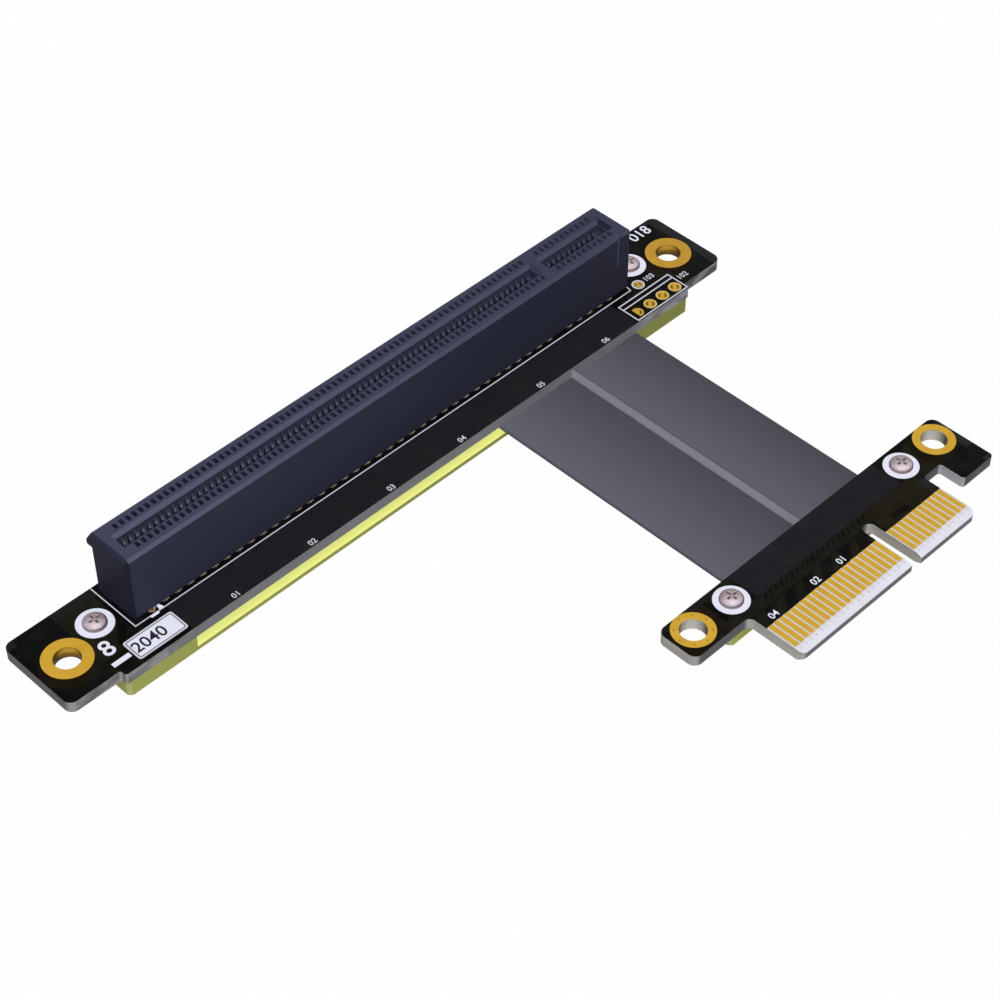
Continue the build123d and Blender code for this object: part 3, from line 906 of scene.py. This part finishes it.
class Metal(Enum):
    """The metals on the boards."""

    GOLD = MetalFinish("gold_plating", srgb(197, 157, 54), srgb(188, 148, 48), 0.42)
    # A darker copy of the gold: painted shade for the far ring.
    FAR_GOLD = MetalFinish("far_gold_plating", srgb(184, 143, 50), srgb(174, 134, 45), 0.42)
    RIM = MetalFinish("pad_rim", srgb(220, 194, 128), srgb(206, 178, 106), 0.45, 0.5)
    LAND = MetalFinish("solder_land", srgb(74, 56, 30), srgb(52, 38, 20), 0.5, 0.1)
    DOT = MetalFinish("solder_dot", srgb(164, 140, 84), srgb(134, 112, 62), 0.45, 0.15)
    SOLDER = MetalFinish("solder", srgb(176, 174, 196), srgb(146, 144, 164), 0.4, 0.4)
    STUB = MetalFinish("plating_stub", srgb(206, 208, 208), srgb(214, 214, 216), 0.5, 0.0)
    VIA = MetalFinish("via_barrel", srgb(168, 134, 44), srgb(152, 120, 36), 0.5, 0.6)
    # Dark crescents of painted shade where a dished fill curves down.
    DISH_SHADE = MetalFinish("painted_dish_shade", srgb(104, 78, 20), srgb(84, 60, 14), 0.5, 0.3)


class Finishes:
    """Every material of the object, made once."""

    def __init__(self, place: Placement) -> None:
        """Builds every material.

        Args:
            place: Where the pieces lie.
        """
        self.metal = {kind: kind.value.build() for kind in Metal}
        self.ink = {kind: kind.value.build() for kind in Ink}
        # Front and left edge tones are lit and shaded copies of one laminate: painted light and shade.
        front, left = srgb(166, 166, 169), srgb(150, 149, 153)
        self.main_mask = BoardFinish("main_mask", place, MAIN_TONES, front, left).build()
        self.card_mask = BoardFinish(
            "card_mask",
            place,
            CARD_TONES,
            front=srgb(126, 128, 132),
            left=srgb(238, 234, 226),
            holes=CardBoard.hole_places,
            bare_below=CardBoard.mask_stops,
            tip_below=CardBoard.tip_starts,
            veined=0.08,
            glint=0.13,
            far_from=44.2,
            far_front=srgb(112, 114, 118),
            far_left=srgb(238, 241, 255),
        ).build()
        self.bore = BoreFinish("gold_bore").build()
        self.spring = SpringFinish("contact_metal", place).build()
        self.housing = HousingFinish("socket_plastic", place).build()
        self.resin = ResinFinish("bead_resin").build()
        self.screws = {}
        for board, centres in (("main", MainBoard.screw_places), ("card", CardBoard.screw_places)):
            self.screws[board] = ScrewFinish(f"{board}_screw_steel", place, centres).build()
        self.covers = {}
        for node in ("main_cover", "card_cover"):
            low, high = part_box(node)
            self.covers[node] = CoverFinish(f"{node}_plastic", low.x, high.x).build()
        self.ribbons = {}
        # Lip tones are painted highlights on the edge that faces left, strong on the right ribbon.
        for node, lip in (("left_ribbon", srgb(112, 113, 126)), ("right_ribbon", srgb(240, 242, 255))):
            low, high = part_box(node)
            self.ribbons[node] = RibbonFinish(f"{node}_jacket", low.x, high.x, lip).build()


def around(centre: Point, radius: float, angles: Iterable[float]) -> list[Point]:
    """Points of a circle at angles in radians."""
    return [(centre[0] + radius * math.cos(a), centre[1] + radius * math.sin(a)) for a in angles]


def circle(centre: Point, radius: float, count: int) -> list[Point]:
    """Evenly spread points round a circle, anticlockwise."""
    return around(centre, radius, (2 * math.pi * n / count for n in range(count)))


def arc(centre: Point, radius: float, start: float, end: float, count: int = 8) -> list[Point]:
    """Evenly spread points from one angle to another, in degrees."""
    steps = (start + (end - start) * n / (count - 1) for n in range(count))
    return around(centre, radius, map(math.radians, steps))


def rectangle(left: float, front: float, right: float, back: float) -> list[Point]:
    """Corners of a rectangle, anticlockwise from the left front one."""
    return [(left, front), (right, front), (right, back), (left, back)]


def rounded(corners: Sequence[Point], radius: float, count: int = 6) -> list[Point]:
    """Rounds the corners of an anticlockwise outline.

    Args:
        corners: The sharp corners.
        radius: Corner radius.
        count: Points in each corner.

    Returns:
        The rounded outline.
    """
    made = []
    for n, corner in enumerate(corners):
        here = Vector(corner)
        back = (Vector(corners[n - 1]) - here).normalized()
        ahead = (Vector(corners[(n + 1) % len(corners)]) - here).normalized()
        for step in range(count + 1):
            share = step / count
            first = here + back * radius * (1 - share) ** 2
            made.append(tuple(first + ahead * radius * share**2))
    return made


class Piece:
    """A mesh that is filled in bit by bit and then hung on the object's one body.

    Its flat forms all lie between two heights, in millimetres above the boards' top faces.
    """

    cap_share: ClassVar[float] = 0.7
    numeral_growth: ClassVar[float] = 0.018
    sharpest: ClassVar[float] = 0.35

    def __init__(self, name: str, place: Placement, low: float = 0.0, high: float = 0.0) -> None:
        """Starts an empty mesh.

        Args:
            name: The piece's name.
            place: Where the boards lie.
            low: Underside of its flat forms.
            high: Their top side.
        """
        self.name = name
        self.place = place
        self.low = low
        self.high = high
        self.mesh = bmesh.new()

    def ring(self, outline: Iterable[Point], height: float) -> list[bmesh.types.BMVert]:
        """Adds a level loop of points without a face."""
        return [self.mesh.verts.new(self.place.at(x, y, height)) for x, y in outline]

    def band(self, first: Sequence[bmesh.types.BMVert], second: Sequence[bmesh.types.BMVert]) -> None:
        """Joins two closed loops with quads.

        Args:
            first: One loop.
            second: The other, with as many corners.
        """
        count = len(first)
        for n in range(count):
            self.mesh.faces.new((first[n], first[(n + 1) % count], second[(n + 1) % count], second[n]))

    def fan(self, loop: Sequence[bmesh.types.BMVert], tip: bmesh.types.BMVert) -> None:
        """Joins a closed loop to a point with triangles."""
        for n in range(len(loop)):
            self.mesh.faces.new((loop[n], loop[(n + 1) % len(loop)], tip))

    def plate(self, outline: Sequence[Point]) -> None:
        """Adds a flat plate.

        Args:
            outline: Corners, anticlockwise seen from above, in millimetres.
        """
        bottom = self.ring(outline, self.low)
        top = self.ring(outline, self.high)
        self.band(bottom, top)
        self.mesh.faces.new(top)
        self.mesh.faces.new(list(reversed(bottom)))

    def disc(self, centre: Point, radius: float, count: int) -> None:
        """Adds a round plate."""
        self.plate(circle(centre, radius, count))

    def washer(self, centre: Point, inner: float, outer: float, count: int = 64) -> None:
        """Adds a flat ring.

        Args:
            centre: Its middle.
            inner: Bore radius.
            outer: Outer radius.
            count: Corners in each circle.
        """
        corners = ((inner, self.low), (outer, self.low), (outer, self.high), (inner, self.high))
        loops = [self.ring(circle(centre, radius, count), height) for radius, height in corners]
        for n in range(4):
            self.band(loops[n], loops[(n + 1) % 4])

    def stroke(self, path: Sequence[Point], width: float, closed: bool = False) -> None:
        """Adds a printed line with mitred corners.

        Args:
            path: Its middle line.
            width: Its width.
            closed: Whether it runs back to its start.
        """
        count = len(path)
        sides: tuple[list[Point], list[Point]] = ([], [])
        for n in range(count):
            here = Vector(path[n])
            ahead = Vector(path[(n + 1) % count]) if closed or n < count - 1 else None
            behind = Vector(path[n - 1]) if closed or n > 0 else None
            into = (here - behind).normalized() if behind is not None else (ahead - here).normalized()
            out = (ahead - here).normalized() if ahead is not None else into
            across = Vector((-into.y - out.y, into.x + out.x)).normalized()
            reach = width / 2 / max(self.sharpest, across.dot(Vector((-into.y, into.x))))
            sides[0].append(tuple(here + across * reach))
            sides[1].append(tuple(here - across * reach))
        for n in range(count if closed else count - 1):
            m = (n + 1) % count
            self.plate([sides[1][n], sides[1][m], sides[0][m], sides[0][n]])

    def digit(self, text: str, centre: Point, height: float) -> None:
        """Adds plain numerals, read along the socket.

        Args:
            text: The number.
            centre: Its middle.
            height: Height of a numeral.
        """
        letters = bpy.data.curves.new("numeral", "FONT")
        letters.body = text
        letters.align_x = "CENTER"
        letters.align_y = "CENTER"
        letters.size = height / self.cap_share * MM
        letters.extrude = (self.high - self.low) / 2 * MM
        letters.offset = self.numeral_growth * height * MM
        holder = bpy.data.objects.new("numeral", letters)
        bpy.context.scene.collection.objects.link(holder)
        bpy.context.view_layer.update()
        shaped = bpy.data.meshes.new_from_object(holder)
        shaped.transform(Matrix.Translation(self.place.at(*centre, (self.low + self.high) / 2)))
        self.mesh.from_mesh(shaped)
        bpy.data.objects.remove(holder)
        bpy.data.meshes.remove(shaped)

    def hang(self, material: bpy.types.Material, slot: str, smooth: bool = False) -> bpy.types.Object:
        """Turns the mesh into an object that rides on the body.

        Args:
            material: Its finish.
            slot: Not used.
            smooth: Whether its faces are shaded round.

        Returns:
            The object.
        """
        bmesh.ops.recalc_face_normals(self.mesh, faces=self.mesh.faces)
        data = bpy.data.meshes.new(self.name)
        self.mesh.to_mesh(data)
        self.mesh.free()
        data.materials.append(material)
        for polygon in data.polygons:
            polygon.use_smooth = smooth
        made = bpy.data.objects.new(self.name, data)
        bpy.context.scene.collection.objects.link(made)
        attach(made, "root")
        LOG.info("%s: %d faces", self.name, len(data.polygons))
        return made


def contact_places(key: float, near: int, far: int) -> list[float]:
    """Middles of contacts a millimetre apart, some before the key and some after it."""
    return [key + near + 0.5 - n for n in range(near)] + [key - 1.5 - n for n in range(far)]


@dataclass(frozen=True)
class Screen:
    """Heights of what is printed or plated on a board's top face, in millimetres."""

    copper: float = 0.012
    ink: float = 0.03
    root: float = 0.04
    plating: float = 0.05
    mark: float = 0.056


@dataclass
class Assembly:
    """What every part of the object is built with. Its sizes are in millimetres."""

    place: Placement
    finishes: Finishes
    screen: ClassVar[Screen] = Screen()
    thickness: ClassVar[float] = 1.7

    def piece(self, name: str, low: float = 0.0, high: float = 0.0) -> Piece:
        """Starts a piece whose flat forms lie between two heights."""
        return Piece(name, self.place, low, high)

    def lands(self, name: str, centres: Iterable[Point], inner: float, outer: float) -> None:
        """Lays gold rings on a board's underside.

        Args:
            name: The piece's name.
            centres: Their middles.
            inner: Bore radius.
            outer: Outer radius.
        """
        rings = self.piece(name, -self.thickness - self.screen.plating, -self.thickness)
        for centre in centres:
            rings.washer(centre, inner, outer)
        rings.hang(self.finishes.metal[Metal.GOLD], "gold_plating")

    def dress(self, material: bpy.types.Material, *nodes: str) -> None:
        """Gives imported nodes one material.

        Args:
            material: Their finish.
            nodes: The nodes' names.
        """
        for node in nodes:
            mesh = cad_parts[node].data
            mesh.materials.clear()
            mesh.materials.append(material)
            LOG.info("%s dressed", node)


@dataclass
class MainBoard(Assembly):
    """The long board with its plating, print and copper."""

    screw_places: ClassVar[tuple] = ((-48.0, -0.5), (48.0, -0.5))
    hole_places: tuple = ((-53.95, -2.62), (53.95, -2.62))
    bore: float = 1.8
    land: float = 3.3
    lining: Point = (0.03, 0.002)
    lining_drop: float = 0.004
    pitch: float = 2.54
    pads: int = 4
    first_pad: Point = (41.5, -8.28)
    pad_mark: Point = (0.45, 0.29)
    pad_arcs: tuple = ((86, 190), (-94, 10))
    pad_rim: Point = (0.84, 0.95)
    test_pad: Point = (45.87, -4.3)
    test_ring: Point = (0.68, 0.94)
    test_mark: Point = (0.3, 0.26)
    test_arcs: tuple = ((100, 200), (-70, 30))
    socket_line: tuple = ((-44.8, 4.45), (-44.8, -4.41), (44.2, -4.41), (44.35, -3.5))
    socket_line_width: float = 0.16
    header_frame: tuple = (40.35, -9.5, 50.4, -5.75)
    header_rule: tuple = ((40.35, -6.62), (50.4, -6.62))
    header_line_width: float = 0.21
    lane_row: float = -9.12
    lane_numeral: float = 0.85
    lanes: tuple = ((34.15, "06"), (21.45, "05"), (6.56, "04"), (-6.22, "03"), (-19.89, "02"), (-32.62, "01"))
    codes: tuple = (("103", (48.05, -4.3)), ("102", (51.75, -7.35)))
    code_numeral: float = 0.9
    screw_ring: Point = (1.0, 2.47)
    first_bar: tuple = (-42.5, -4.76, -41.2, -4.4)
    first_bar_radius: float = 0.15
    arrow: tuple = ((-40.95, -4.35), (-40.2, -4.35), (-40.45, -3.4), (-40.75, -3.4))
    hole_bar: tuple = (-50.8, -7.85, -48.1, -7.1)
    numerals: tuple = (("8", (-49.55, -4.85), 2.5), ("018", (54.2, 3.1), 1.75))
    label_rim: tuple = (-47.82, -9.06, -40.12, -5.46)
    label_panel: tuple = (-47.42, -8.68, -40.5, -5.84)
    label_border: tuple = (-47.5, -8.76, -40.42, -5.76)
    label_radii: tuple = (0.45, 0.25, 0.3)
    label_rises: tuple = (0.004, 0.006, 0.012)
    label_line: float = 0.1
    label_number: tuple = ("2040", (-44.9, -7.3), 1.75)

    def build(self) -> None:
        """Makes every piece of the board."""
        self.dress(self.finishes.main_mask, "main_board")
        self.dress(self.finishes.metal[Metal.GOLD], "main_ring_left", "header_pads", "test_pad")
        # The right ring gets the darker gold, painted shade.
        self.dress(self.finishes.metal[Metal.FAR_GOLD], "main_ring_right")
        self.plating()
        self.print_lines()
        self.print_bars()
        self.label()
        self.marks()

    def plating(self) -> None:
        """Plates the two mounting holes through and on the underside."""
        bores = self.piece("main_plated_bores", -self.thickness, self.screen.plating - self.lining_drop)
        for centre in self.hole_places:
            bores.washer(centre, self.bore - self.lining[0], self.bore - self.lining[1])
        bores.hang(self.finishes.bore, "gold_plating", True)
        self.lands("main_lower_lands", self.hole_places, self.bore, self.land)

    def print_lines(self) -> None:
        """Prints the thin lines: the socket's outline, the header's frame and the small numbers."""
        ink = self.piece("main_lines", 0, self.screen.ink)
        ink.stroke(self.socket_line, self.socket_line_width)
        ink.stroke(rectangle(*self.header_frame), self.header_line_width, True)
        ink.stroke(self.header_rule, self.header_line_width)
        for x, text in self.lanes:
            ink.digit(text, (x, self.lane_row), self.lane_numeral)
        ink.washer(self.test_pad, *self.test_ring)
        for text, centre in self.codes:
            ink.digit(text, centre, self.code_numeral)
        ink.hang(self.finishes.ink[Ink.LINE], "board_mask")

    def print_bars(self) -> None:
        """Prints the screw rings, the larger numbers and the solid bars."""
        ink = self.piece("main_print", 0, self.screen.ink)
        ink.plate(rounded(rectangle(*self.first_bar), self.first_bar_radius))
        ink.plate(self.arrow)
        for centre in self.screw_places:
            ink.washer(centre, *self.screw_ring)
        ink.plate(rectangle(*self.hole_bar))
        for text, centre, height in self.numerals:
            ink.digit(text, centre, height)
        ink.hang(self.finishes.ink[Ink.WHITE], "board_mask")

    def label(self) -> None:
        """Prints the label's rim and panel, with a plain number inside a dark border."""
        top = self.screen.ink
        face, border, number = (top + rise for rise in self.label_rises)
        rim_radius, panel_radius, border_radius = self.label_radii
        for name, ink, corners, radius, low, high in (
            ("label_rim", Ink.LINE, self.label_rim, rim_radius, 0, top),
            ("label_panel", Ink.WHITE, self.label_panel, panel_radius, top, face),
        ):
            layer = self.piece(name, low, high)
            layer.plate(rounded(rectangle(*corners), radius))
            layer.hang(self.finishes.ink[ink], "board_mask")
        dark = self.piece("label_number", face, number)
        dark.digit(*self.label_number)
        dark.low, dark.high = top, border
        dark.stroke(rounded(rectangle(*self.label_border), border_radius), self.label_line, True)
        dark.hang(self.finishes.ink[Ink.DARK], "board_mask")

    def marks(self) -> None:
        """Paints dark crescents of shade on the dished solder in the header's holes and in the test pad."""
        marks = self.piece("header_marks", self.screen.plating, self.screen.mark)
        rims = self.piece("header_rims", self.screen.plating, self.screen.mark)
        for n in range(self.pads):
            centre = (self.first_pad[0] + self.pitch * n, self.first_pad[1])
            if n:
                rims.washer(centre, *self.pad_rim)
            for start, end in self.pad_arcs if n else self.pad_arcs[1:]:
                marks.stroke(arc(centre, self.pad_mark[0], start, end), self.pad_mark[1])
        for start, end in self.test_arcs:
            marks.stroke(arc(self.test_pad, self.test_mark[0], start, end), self.test_mark[1])
        marks.hang(self.finishes.metal[Metal.DISH_SHADE], "gold_plating")
        rims.hang(self.finishes.metal[Metal.RIM], "gold_plating")


@dataclass
class Socket(Assembly):
    """The card socket: moulding, springs, solder lands and tails."""

    centre: float = 0.2
    key: float = 30.0
    near_pins: int = 11
    far_pins: int = 71
    outer_row: float = 3.22
    inner_row: float = 1.25
    land_row: float = 3.64
    land: Point = (0.2, 0.56)
    land_shift: float = 0.42
    land_corners: int = 20
    dot_corners: int = 12
    tail: float = 0.15
    tail_rise: float = 0.09
    dots: tuple = ((-0.36, 0.1, 0.14), (0.36, 0.07, 0.16))
    smear: tuple = ((-42.0, -3.3), (-41.98, -3.75), (-41.6, -4.08), (-41.24, -3.75), (-41.22, -3.3))
    smear_width: float = 0.26
    cone: tuple = ((0.16, -2.8), (0.2, -2.3), (0.45, -1.7))
    cone_tip: float = -2.85
    cone_corners: int = 8

    def build(self) -> None:
        """Makes every piece of the socket."""
        self.dress(self.finishes.housing, "slot_housing")
        self.dress(self.finishes.spring, "contacts_front", "contacts_back")
        self.solder()
        self.tails()

    def pins(self) -> list[float]:
        """Places of the contacts from the key end."""
        return [self.centre + x for x in contact_places(self.key, self.near_pins, self.far_pins)]

    def solder(self) -> None:
        """Makes the solder that peeps out on both sides of the moulding, at every second contact."""
        lands = self.piece("solder_lands", 0, self.screen.ink)
        dots = self.piece("solder_dots", 0, self.screen.plating)
        ends = self.piece("soldered_ends", 0, self.tail_rise)
        for x in self.pins()[1::2]:
            for side in (-1, 1):
                row = side * self.land_row
                lands.washer((x, row - side * self.land_shift), *self.land, self.land_corners)
                ends.disc((x, row), self.tail, self.dot_corners)
                for along, inward, radius in self.dots:
                    dots.disc((x + along, row - side * inward), radius, self.dot_corners)
        dots.stroke(self.smear, self.smear_width)
        lands.hang(self.finishes.metal[Metal.LAND], "gold_plating")
        dots.hang(self.finishes.metal[Metal.DOT], "gold_plating")
        ends.hang(self.finishes.metal[Metal.SOLDER], "contact_metal")

    def tails(self) -> None:
        """Makes the solder cones under the long board, in two rows on each side."""
        cones = self.piece("solder_cones")
        for number, x in enumerate(self.pins()):
            row = self.inner_row if number % 2 == 0 else self.outer_row
            for side in (-1, 1):
                self.tail_cone(cones, (x, side * row))
        cones.hang(self.finishes.metal[Metal.SOLDER], "contact_metal", True)

    def tail_cone(self, cones: Piece, centre: Point) -> None:
        """Turns one solder cone round its tail.

        Args:
            cones: The mesh that takes it.
            centre: Where the tail comes out.
        """
        tip = cones.mesh.verts.new(self.place.at(*centre, self.cone_tip))
        rings = ((circle(centre, radius, self.cone_corners), height) for radius, height in self.cone)
        loops = [cones.ring(*ring) for ring in rings]
        cones.fan(loops[0][::-1], tip)
        for lower, upper in zip(loops, loops[1:]):
            cones.band(lower, upper)
        cones.fan(loops[-1], cones.mesh.verts.new(self.place.at(*centre, self.cone[-1][1])))


@dataclass
class Screws(Assembly):
    """Low domed cross-head screws, one group on each board."""

    radius: float = 1.6
    height: float = 0.95
    edge: float = 0.2
    bulge: float = 2.6
    arm: float = 0.82
    width: float = 0.2
    wall: float = 0.05
    depth: float = 0.16
    gap: float = 0.03
    shank: float = 0.8
    length: float = 3.6
    spokes: int = 96
    rings: int = 44

    def build(self, board: str, places: Sequence[Point]) -> None:
        """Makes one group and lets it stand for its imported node.

        Args:
            board: The board's short name.
            places: Where the screws stand.
        """
        group = self.piece(f"{board}_screw_heads")
        for centre in places:
            self.head(group, centre)
        made = group.hang(self.finishes.screws[board], "screw_steel", True)
        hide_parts(f"{board}_screws")

    def top(self, x: float, y: float) -> float:
        """Height of the head's upper face.

        Args:
            x: Distance from the axis along the socket.
            y: Distance from the axis across it.

        Returns:
            The height above the board.
        """
        share = min(1.0, math.hypot(x, y) / self.radius)
        dome = self.edge + (self.height - self.edge) * math.sqrt(max(0.0, 1 - share**self.bulge))
        return dome - self.depth * max(self.arm_share(x, y), self.arm_share(y, x))

    def arm_share(self, along: float, across: float) -> float:
        """How far a point lies in one arm of the cross.

        Args:
            along: Distance from the axis along the arm.
            across: Distance from the arm's middle line.

        Returns:
            Zero outside, one at the full depth.
        """
        inside = (self.width - abs(across)) / self.wall
        short = (self.arm - abs(along)) / (self.wall * 4)
        return max(0.0, min(1.0, inside, short))

    def head(self, group: Piece, centre: Point) -> None:
        """Adds one screw with its shank.

        Args:
            group: The mesh that takes it.
            centre: Where it stands.
        """
        loops = []
        for ring in range(1, self.rings + 1):
            points = circle((0, 0), self.radius * ring / self.rings, self.spokes)
            spots = [self.place.at(centre[0] + x, centre[1] + y, self.top(x, y)) for x, y in points]
            loops.append([group.mesh.verts.new(spot) for spot in spots])
        group.fan(loops[0], group.mesh.verts.new(self.place.at(*centre, self.top(0, 0))))
        for inner, outer in zip(loops, loops[1:]):
            group.band(outer, inner)
        last = loops[-1]
        for radius, height in ((self.radius, self.gap), (self.shank, self.gap), (self.shank, -self.length)):
            loop = group.ring(circle(centre, radius, self.spokes), height)
            group.band(loop, last)
            last = loop
        group.mesh.faces.new(last)


@dataclass
class Covers(Assembly):
    """The moulded covers under both boards."""

    def build(self) -> None:
        """Dresses the covers."""
        for node, material in self.finishes.covers.items():
            self.dress(material, node)


@dataclass
class Ribbons(Assembly):
    """The two flat ribbons and the potted joints at their ends."""

    def build(self) -> None:
        """Dresses the ribbons and their joints."""
        for node, material in self.finishes.ribbons.items():
            self.dress(material, node)
        self.dress(self.finishes.resin, "solder_beads")


@dataclass
class CardBoard(Assembly):
    """The small board that plugs in, with its edge contacts."""

    hole_places: ClassVar[tuple] = ((3.1, -53.15), (50.47, -53.15))
    screw_places: ClassVar[tuple] = ((10.13, -53.15), (43.54, -53.15))
    mask_stops: ClassVar[float] = -59.33
    tip_starts: ClassVar[float] = -62.0
    bore: float = 1.8
    land: float = 2.9
    vias: int = 8
    via_reach: float = 2.4
    via: float = 0.17
    via_corners: int = 14
    screw_ring: Point = (1.0, 2.41)
    lanes: tuple = ((12.0, "04"), (20.0, "02"), (25.0, "01"))
    lane_row: float = -58.45
    lane_numeral: float = 1.0
    notch: float = 31.76
    near_pins: int = 11
    far_pins: int = 21
    finger: float = 0.7
    finger_back: float = -59.64
    finger_front: float = -63.73
    root_lap: float = 0.01
    stub: float = 0.4
    stub_gap: float = 0.12
    stub_front: float = -64.5

    def build(self) -> None:
        """Makes every piece of the small board."""
        self.dress(self.finishes.card_mask, "card_board")
        gold = self.finishes.metal[Metal.GOLD]
        self.dress(gold, "card_ring_left", "card_ring_right", "fingers_top", "fingers_bottom")
        self.rings()
        self.print_lines()
        self.finger_ends()

    def rings(self) -> None:
        """Makes the small vias in the left ring and the rings underneath."""
        vias = self.piece("ring_vias", self.screen.plating, self.screen.mark)
        for spot in circle(self.hole_places[0], self.via_reach, self.vias):
            vias.disc(spot, self.via, self.via_corners)
        vias.hang(self.finishes.metal[Metal.VIA], "gold_plating")
        self.lands("card_lower_lands", self.hole_places, self.bore, self.land)

    def print_lines(self) -> None:
        """Prints the screw rings and the small numbers."""
        ink = self.piece("card_print", 0, self.screen.ink)
        for centre in self.screw_places:
            ink.washer(centre, *self.screw_ring)
        for x, text in self.lanes:
            ink.digit(text, (x, self.lane_row), self.lane_numeral)
        ink.hang(self.finishes.ink[Ink.WHITE], "board_mask")

    def finger_ends(self) -> None:
        """Runs the contacts up to the mask and adds the plating stubs towards the edge."""
        roots = self.piece("finger_roots", 0, self.screen.root)
        stubs = self.piece("plating_stubs", 0, self.screen.copper)
        for x in contact_places(self.notch, self.near_pins, self.far_pins):
            roots.stroke([(x, self.finger_back), (x, self.mask_stops + self.root_lap)], self.finger)
            stubs.stroke([(x, self.finger_front - self.stub_gap), (x, self.stub_front)], self.stub)
        roots.hang(self.finishes.metal[Metal.GOLD], "gold_plating")
        stubs.hang(self.finishes.metal[Metal.STUB], "gold_plating")


@dataclass
class Studio:
    """Pale floor, soft light and the camera, which stands in millimetres about the long board."""

    position: tuple = (-157.01954, -180.28238, 229.20201)
    right: tuple = (0.7076481, -0.70656459, -0.00079964)
    down: tuple = (-0.50411467, -0.5040941, -0.70125426)
    ahead: tuple = (0.49507834, 0.49664436, -0.71291081)
    focal: float = 2.4990688
    sensor: float = 36.0
    nearest: float = 0.01
    ambient: float = 0.12
    towards: tuple = (-0.10, -0.21, 0.88)
    open_light: float = 2.4
    open_width: float = 40.0
    key_light: float = 0.45
    key_width: float = 30.0
    whiteness: float = 0.99
    floor_reach: float = 4.0
    floor_gap: float = 0.00002
    floor_tone: tuple = srgb(152, 152, 154)
    floor_pale: tuple = srgb(158, 158, 160)

    def build(self, place: Placement) -> None:
        """Makes the stage.

        Args:
            place: Where the object lies.
        """
        self.camera(place)
        self.floor()
        self.world()
        self.lamp("open_light", self.open_light, self.open_width, False)
        self.lamp("key_light", self.key_light, self.key_width, True)

    def camera(self, place: Placement) -> None:
        """Places the camera where the photograph was taken from.

        Args:
            place: Where the object lies.
        """
        data = bpy.data.cameras.new("camera")
        data.lens = self.sensor * self.focal
        data.sensor_width = self.sensor
        data.clip_start = self.nearest
        made = bpy.data.objects.new("camera", data)
        axes = [Vector(self.right), -Vector(self.down), -Vector(self.ahead)]
        turn = Matrix(axes).transposed().to_4x4()
        made.matrix_world = Matrix.Translation(place.at(*self.position)) @ turn
        bpy.context.scene.collection.objects.link(made)
        bpy.context.scene.camera = made

    def floor(self) -> None:
        """Lays a pale floor that looks white to the camera and keeps the shadow."""
        shader = Shader("floor_paint")
        colour = shader.mix(shader.noise(scale=6.0, detail=2.0), self.floor_tone, self.floor_pale)
        shader.finish(Base_Color=colour, Roughness=0.9, Specular_IOR_Level=0.0)
        white = shader.node("ShaderNodeEmission", {}, {"Color": (1, 1, 1, 1), "Strength": 1.0})
        paint = Value(shader, shader.principled.outputs[0])
        seen = shader.seen() * self.whiteness
        shader.show(shader.node("ShaderNodeMixShader", {}, {0: seen, 1: paint, 2: white}))
        low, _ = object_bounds()
        corners = rectangle(-self.floor_reach, -self.floor_reach, self.floor_reach, self.floor_reach)
        mesh = bpy.data.meshes.new("floor")
        mesh.from_pydata([(x, y, low.z - self.floor_gap) for x, y in corners], [], [(0, 1, 2, 3)])
        mesh.materials.append(shader.material)
        made = bpy.data.objects.new("floor", mesh)
        bpy.context.scene.collection.objects.link(made)
        made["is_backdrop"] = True

    def world(self) -> None:
        """White to the camera and in reflections, a low even light elsewhere."""
        world = bpy.data.worlds.new("studio")
        world.use_nodes = True
        bpy.context.scene.world = world
        tree = Tree(world.node_tree)
        shade = world.node_tree.nodes["Background"]
        strength = tree.seen() * (1.0 - self.ambient) + self.ambient
        world.node_tree.links.new(strength.socket, shade.inputs["Strength"])
        shade.inputs["Color"].default_value = (1, 1, 1, 1)

    def lamp(self, name: str, strength: float, width: float, shadow: bool) -> None:
        """Adds one wide sun.

        Args:
            name: The lamp's name.
            strength: Power on a square metre.
            width: Width of its disc in degrees.
            shadow: Whether it is blocked by what stands in its way.
        """
        data = bpy.data.lights.new(name, "SUN")
        data.energy = strength
        data.angle = math.radians(width)
        data.use_shadow = shadow
        made = bpy.data.objects.new(name, data)
        made.rotation_mode = "QUATERNION"
        made.rotation_quaternion = Vector(self.towards).to_track_quat("Z", "Y")
        bpy.context.scene.collection.objects.link(made)


def main() -> None:
    """Builds the whole scene in order."""
    logging.basicConfig(level=logging.INFO, format="%(name)s %(message)s")
    bpy.context.scene.view_settings.view_transform = "Standard"
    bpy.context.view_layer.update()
    place = Placement.from_frame(board_back=4.53)
    finishes = Finishes(place)
    Studio().build(place)
    MainBoard(place, finishes).build()
    Socket(place, finishes).build()
    CardBoard(place, finishes).build()
    Covers(place, finishes).build()
    Ribbons(place, finishes).build()
    screws = Screws(place, finishes)
    screws.build("main", MainBoard.screw_places)
    screws.build("card", CardBoard.screw_places)


if __name__ == "__main__":
    main()
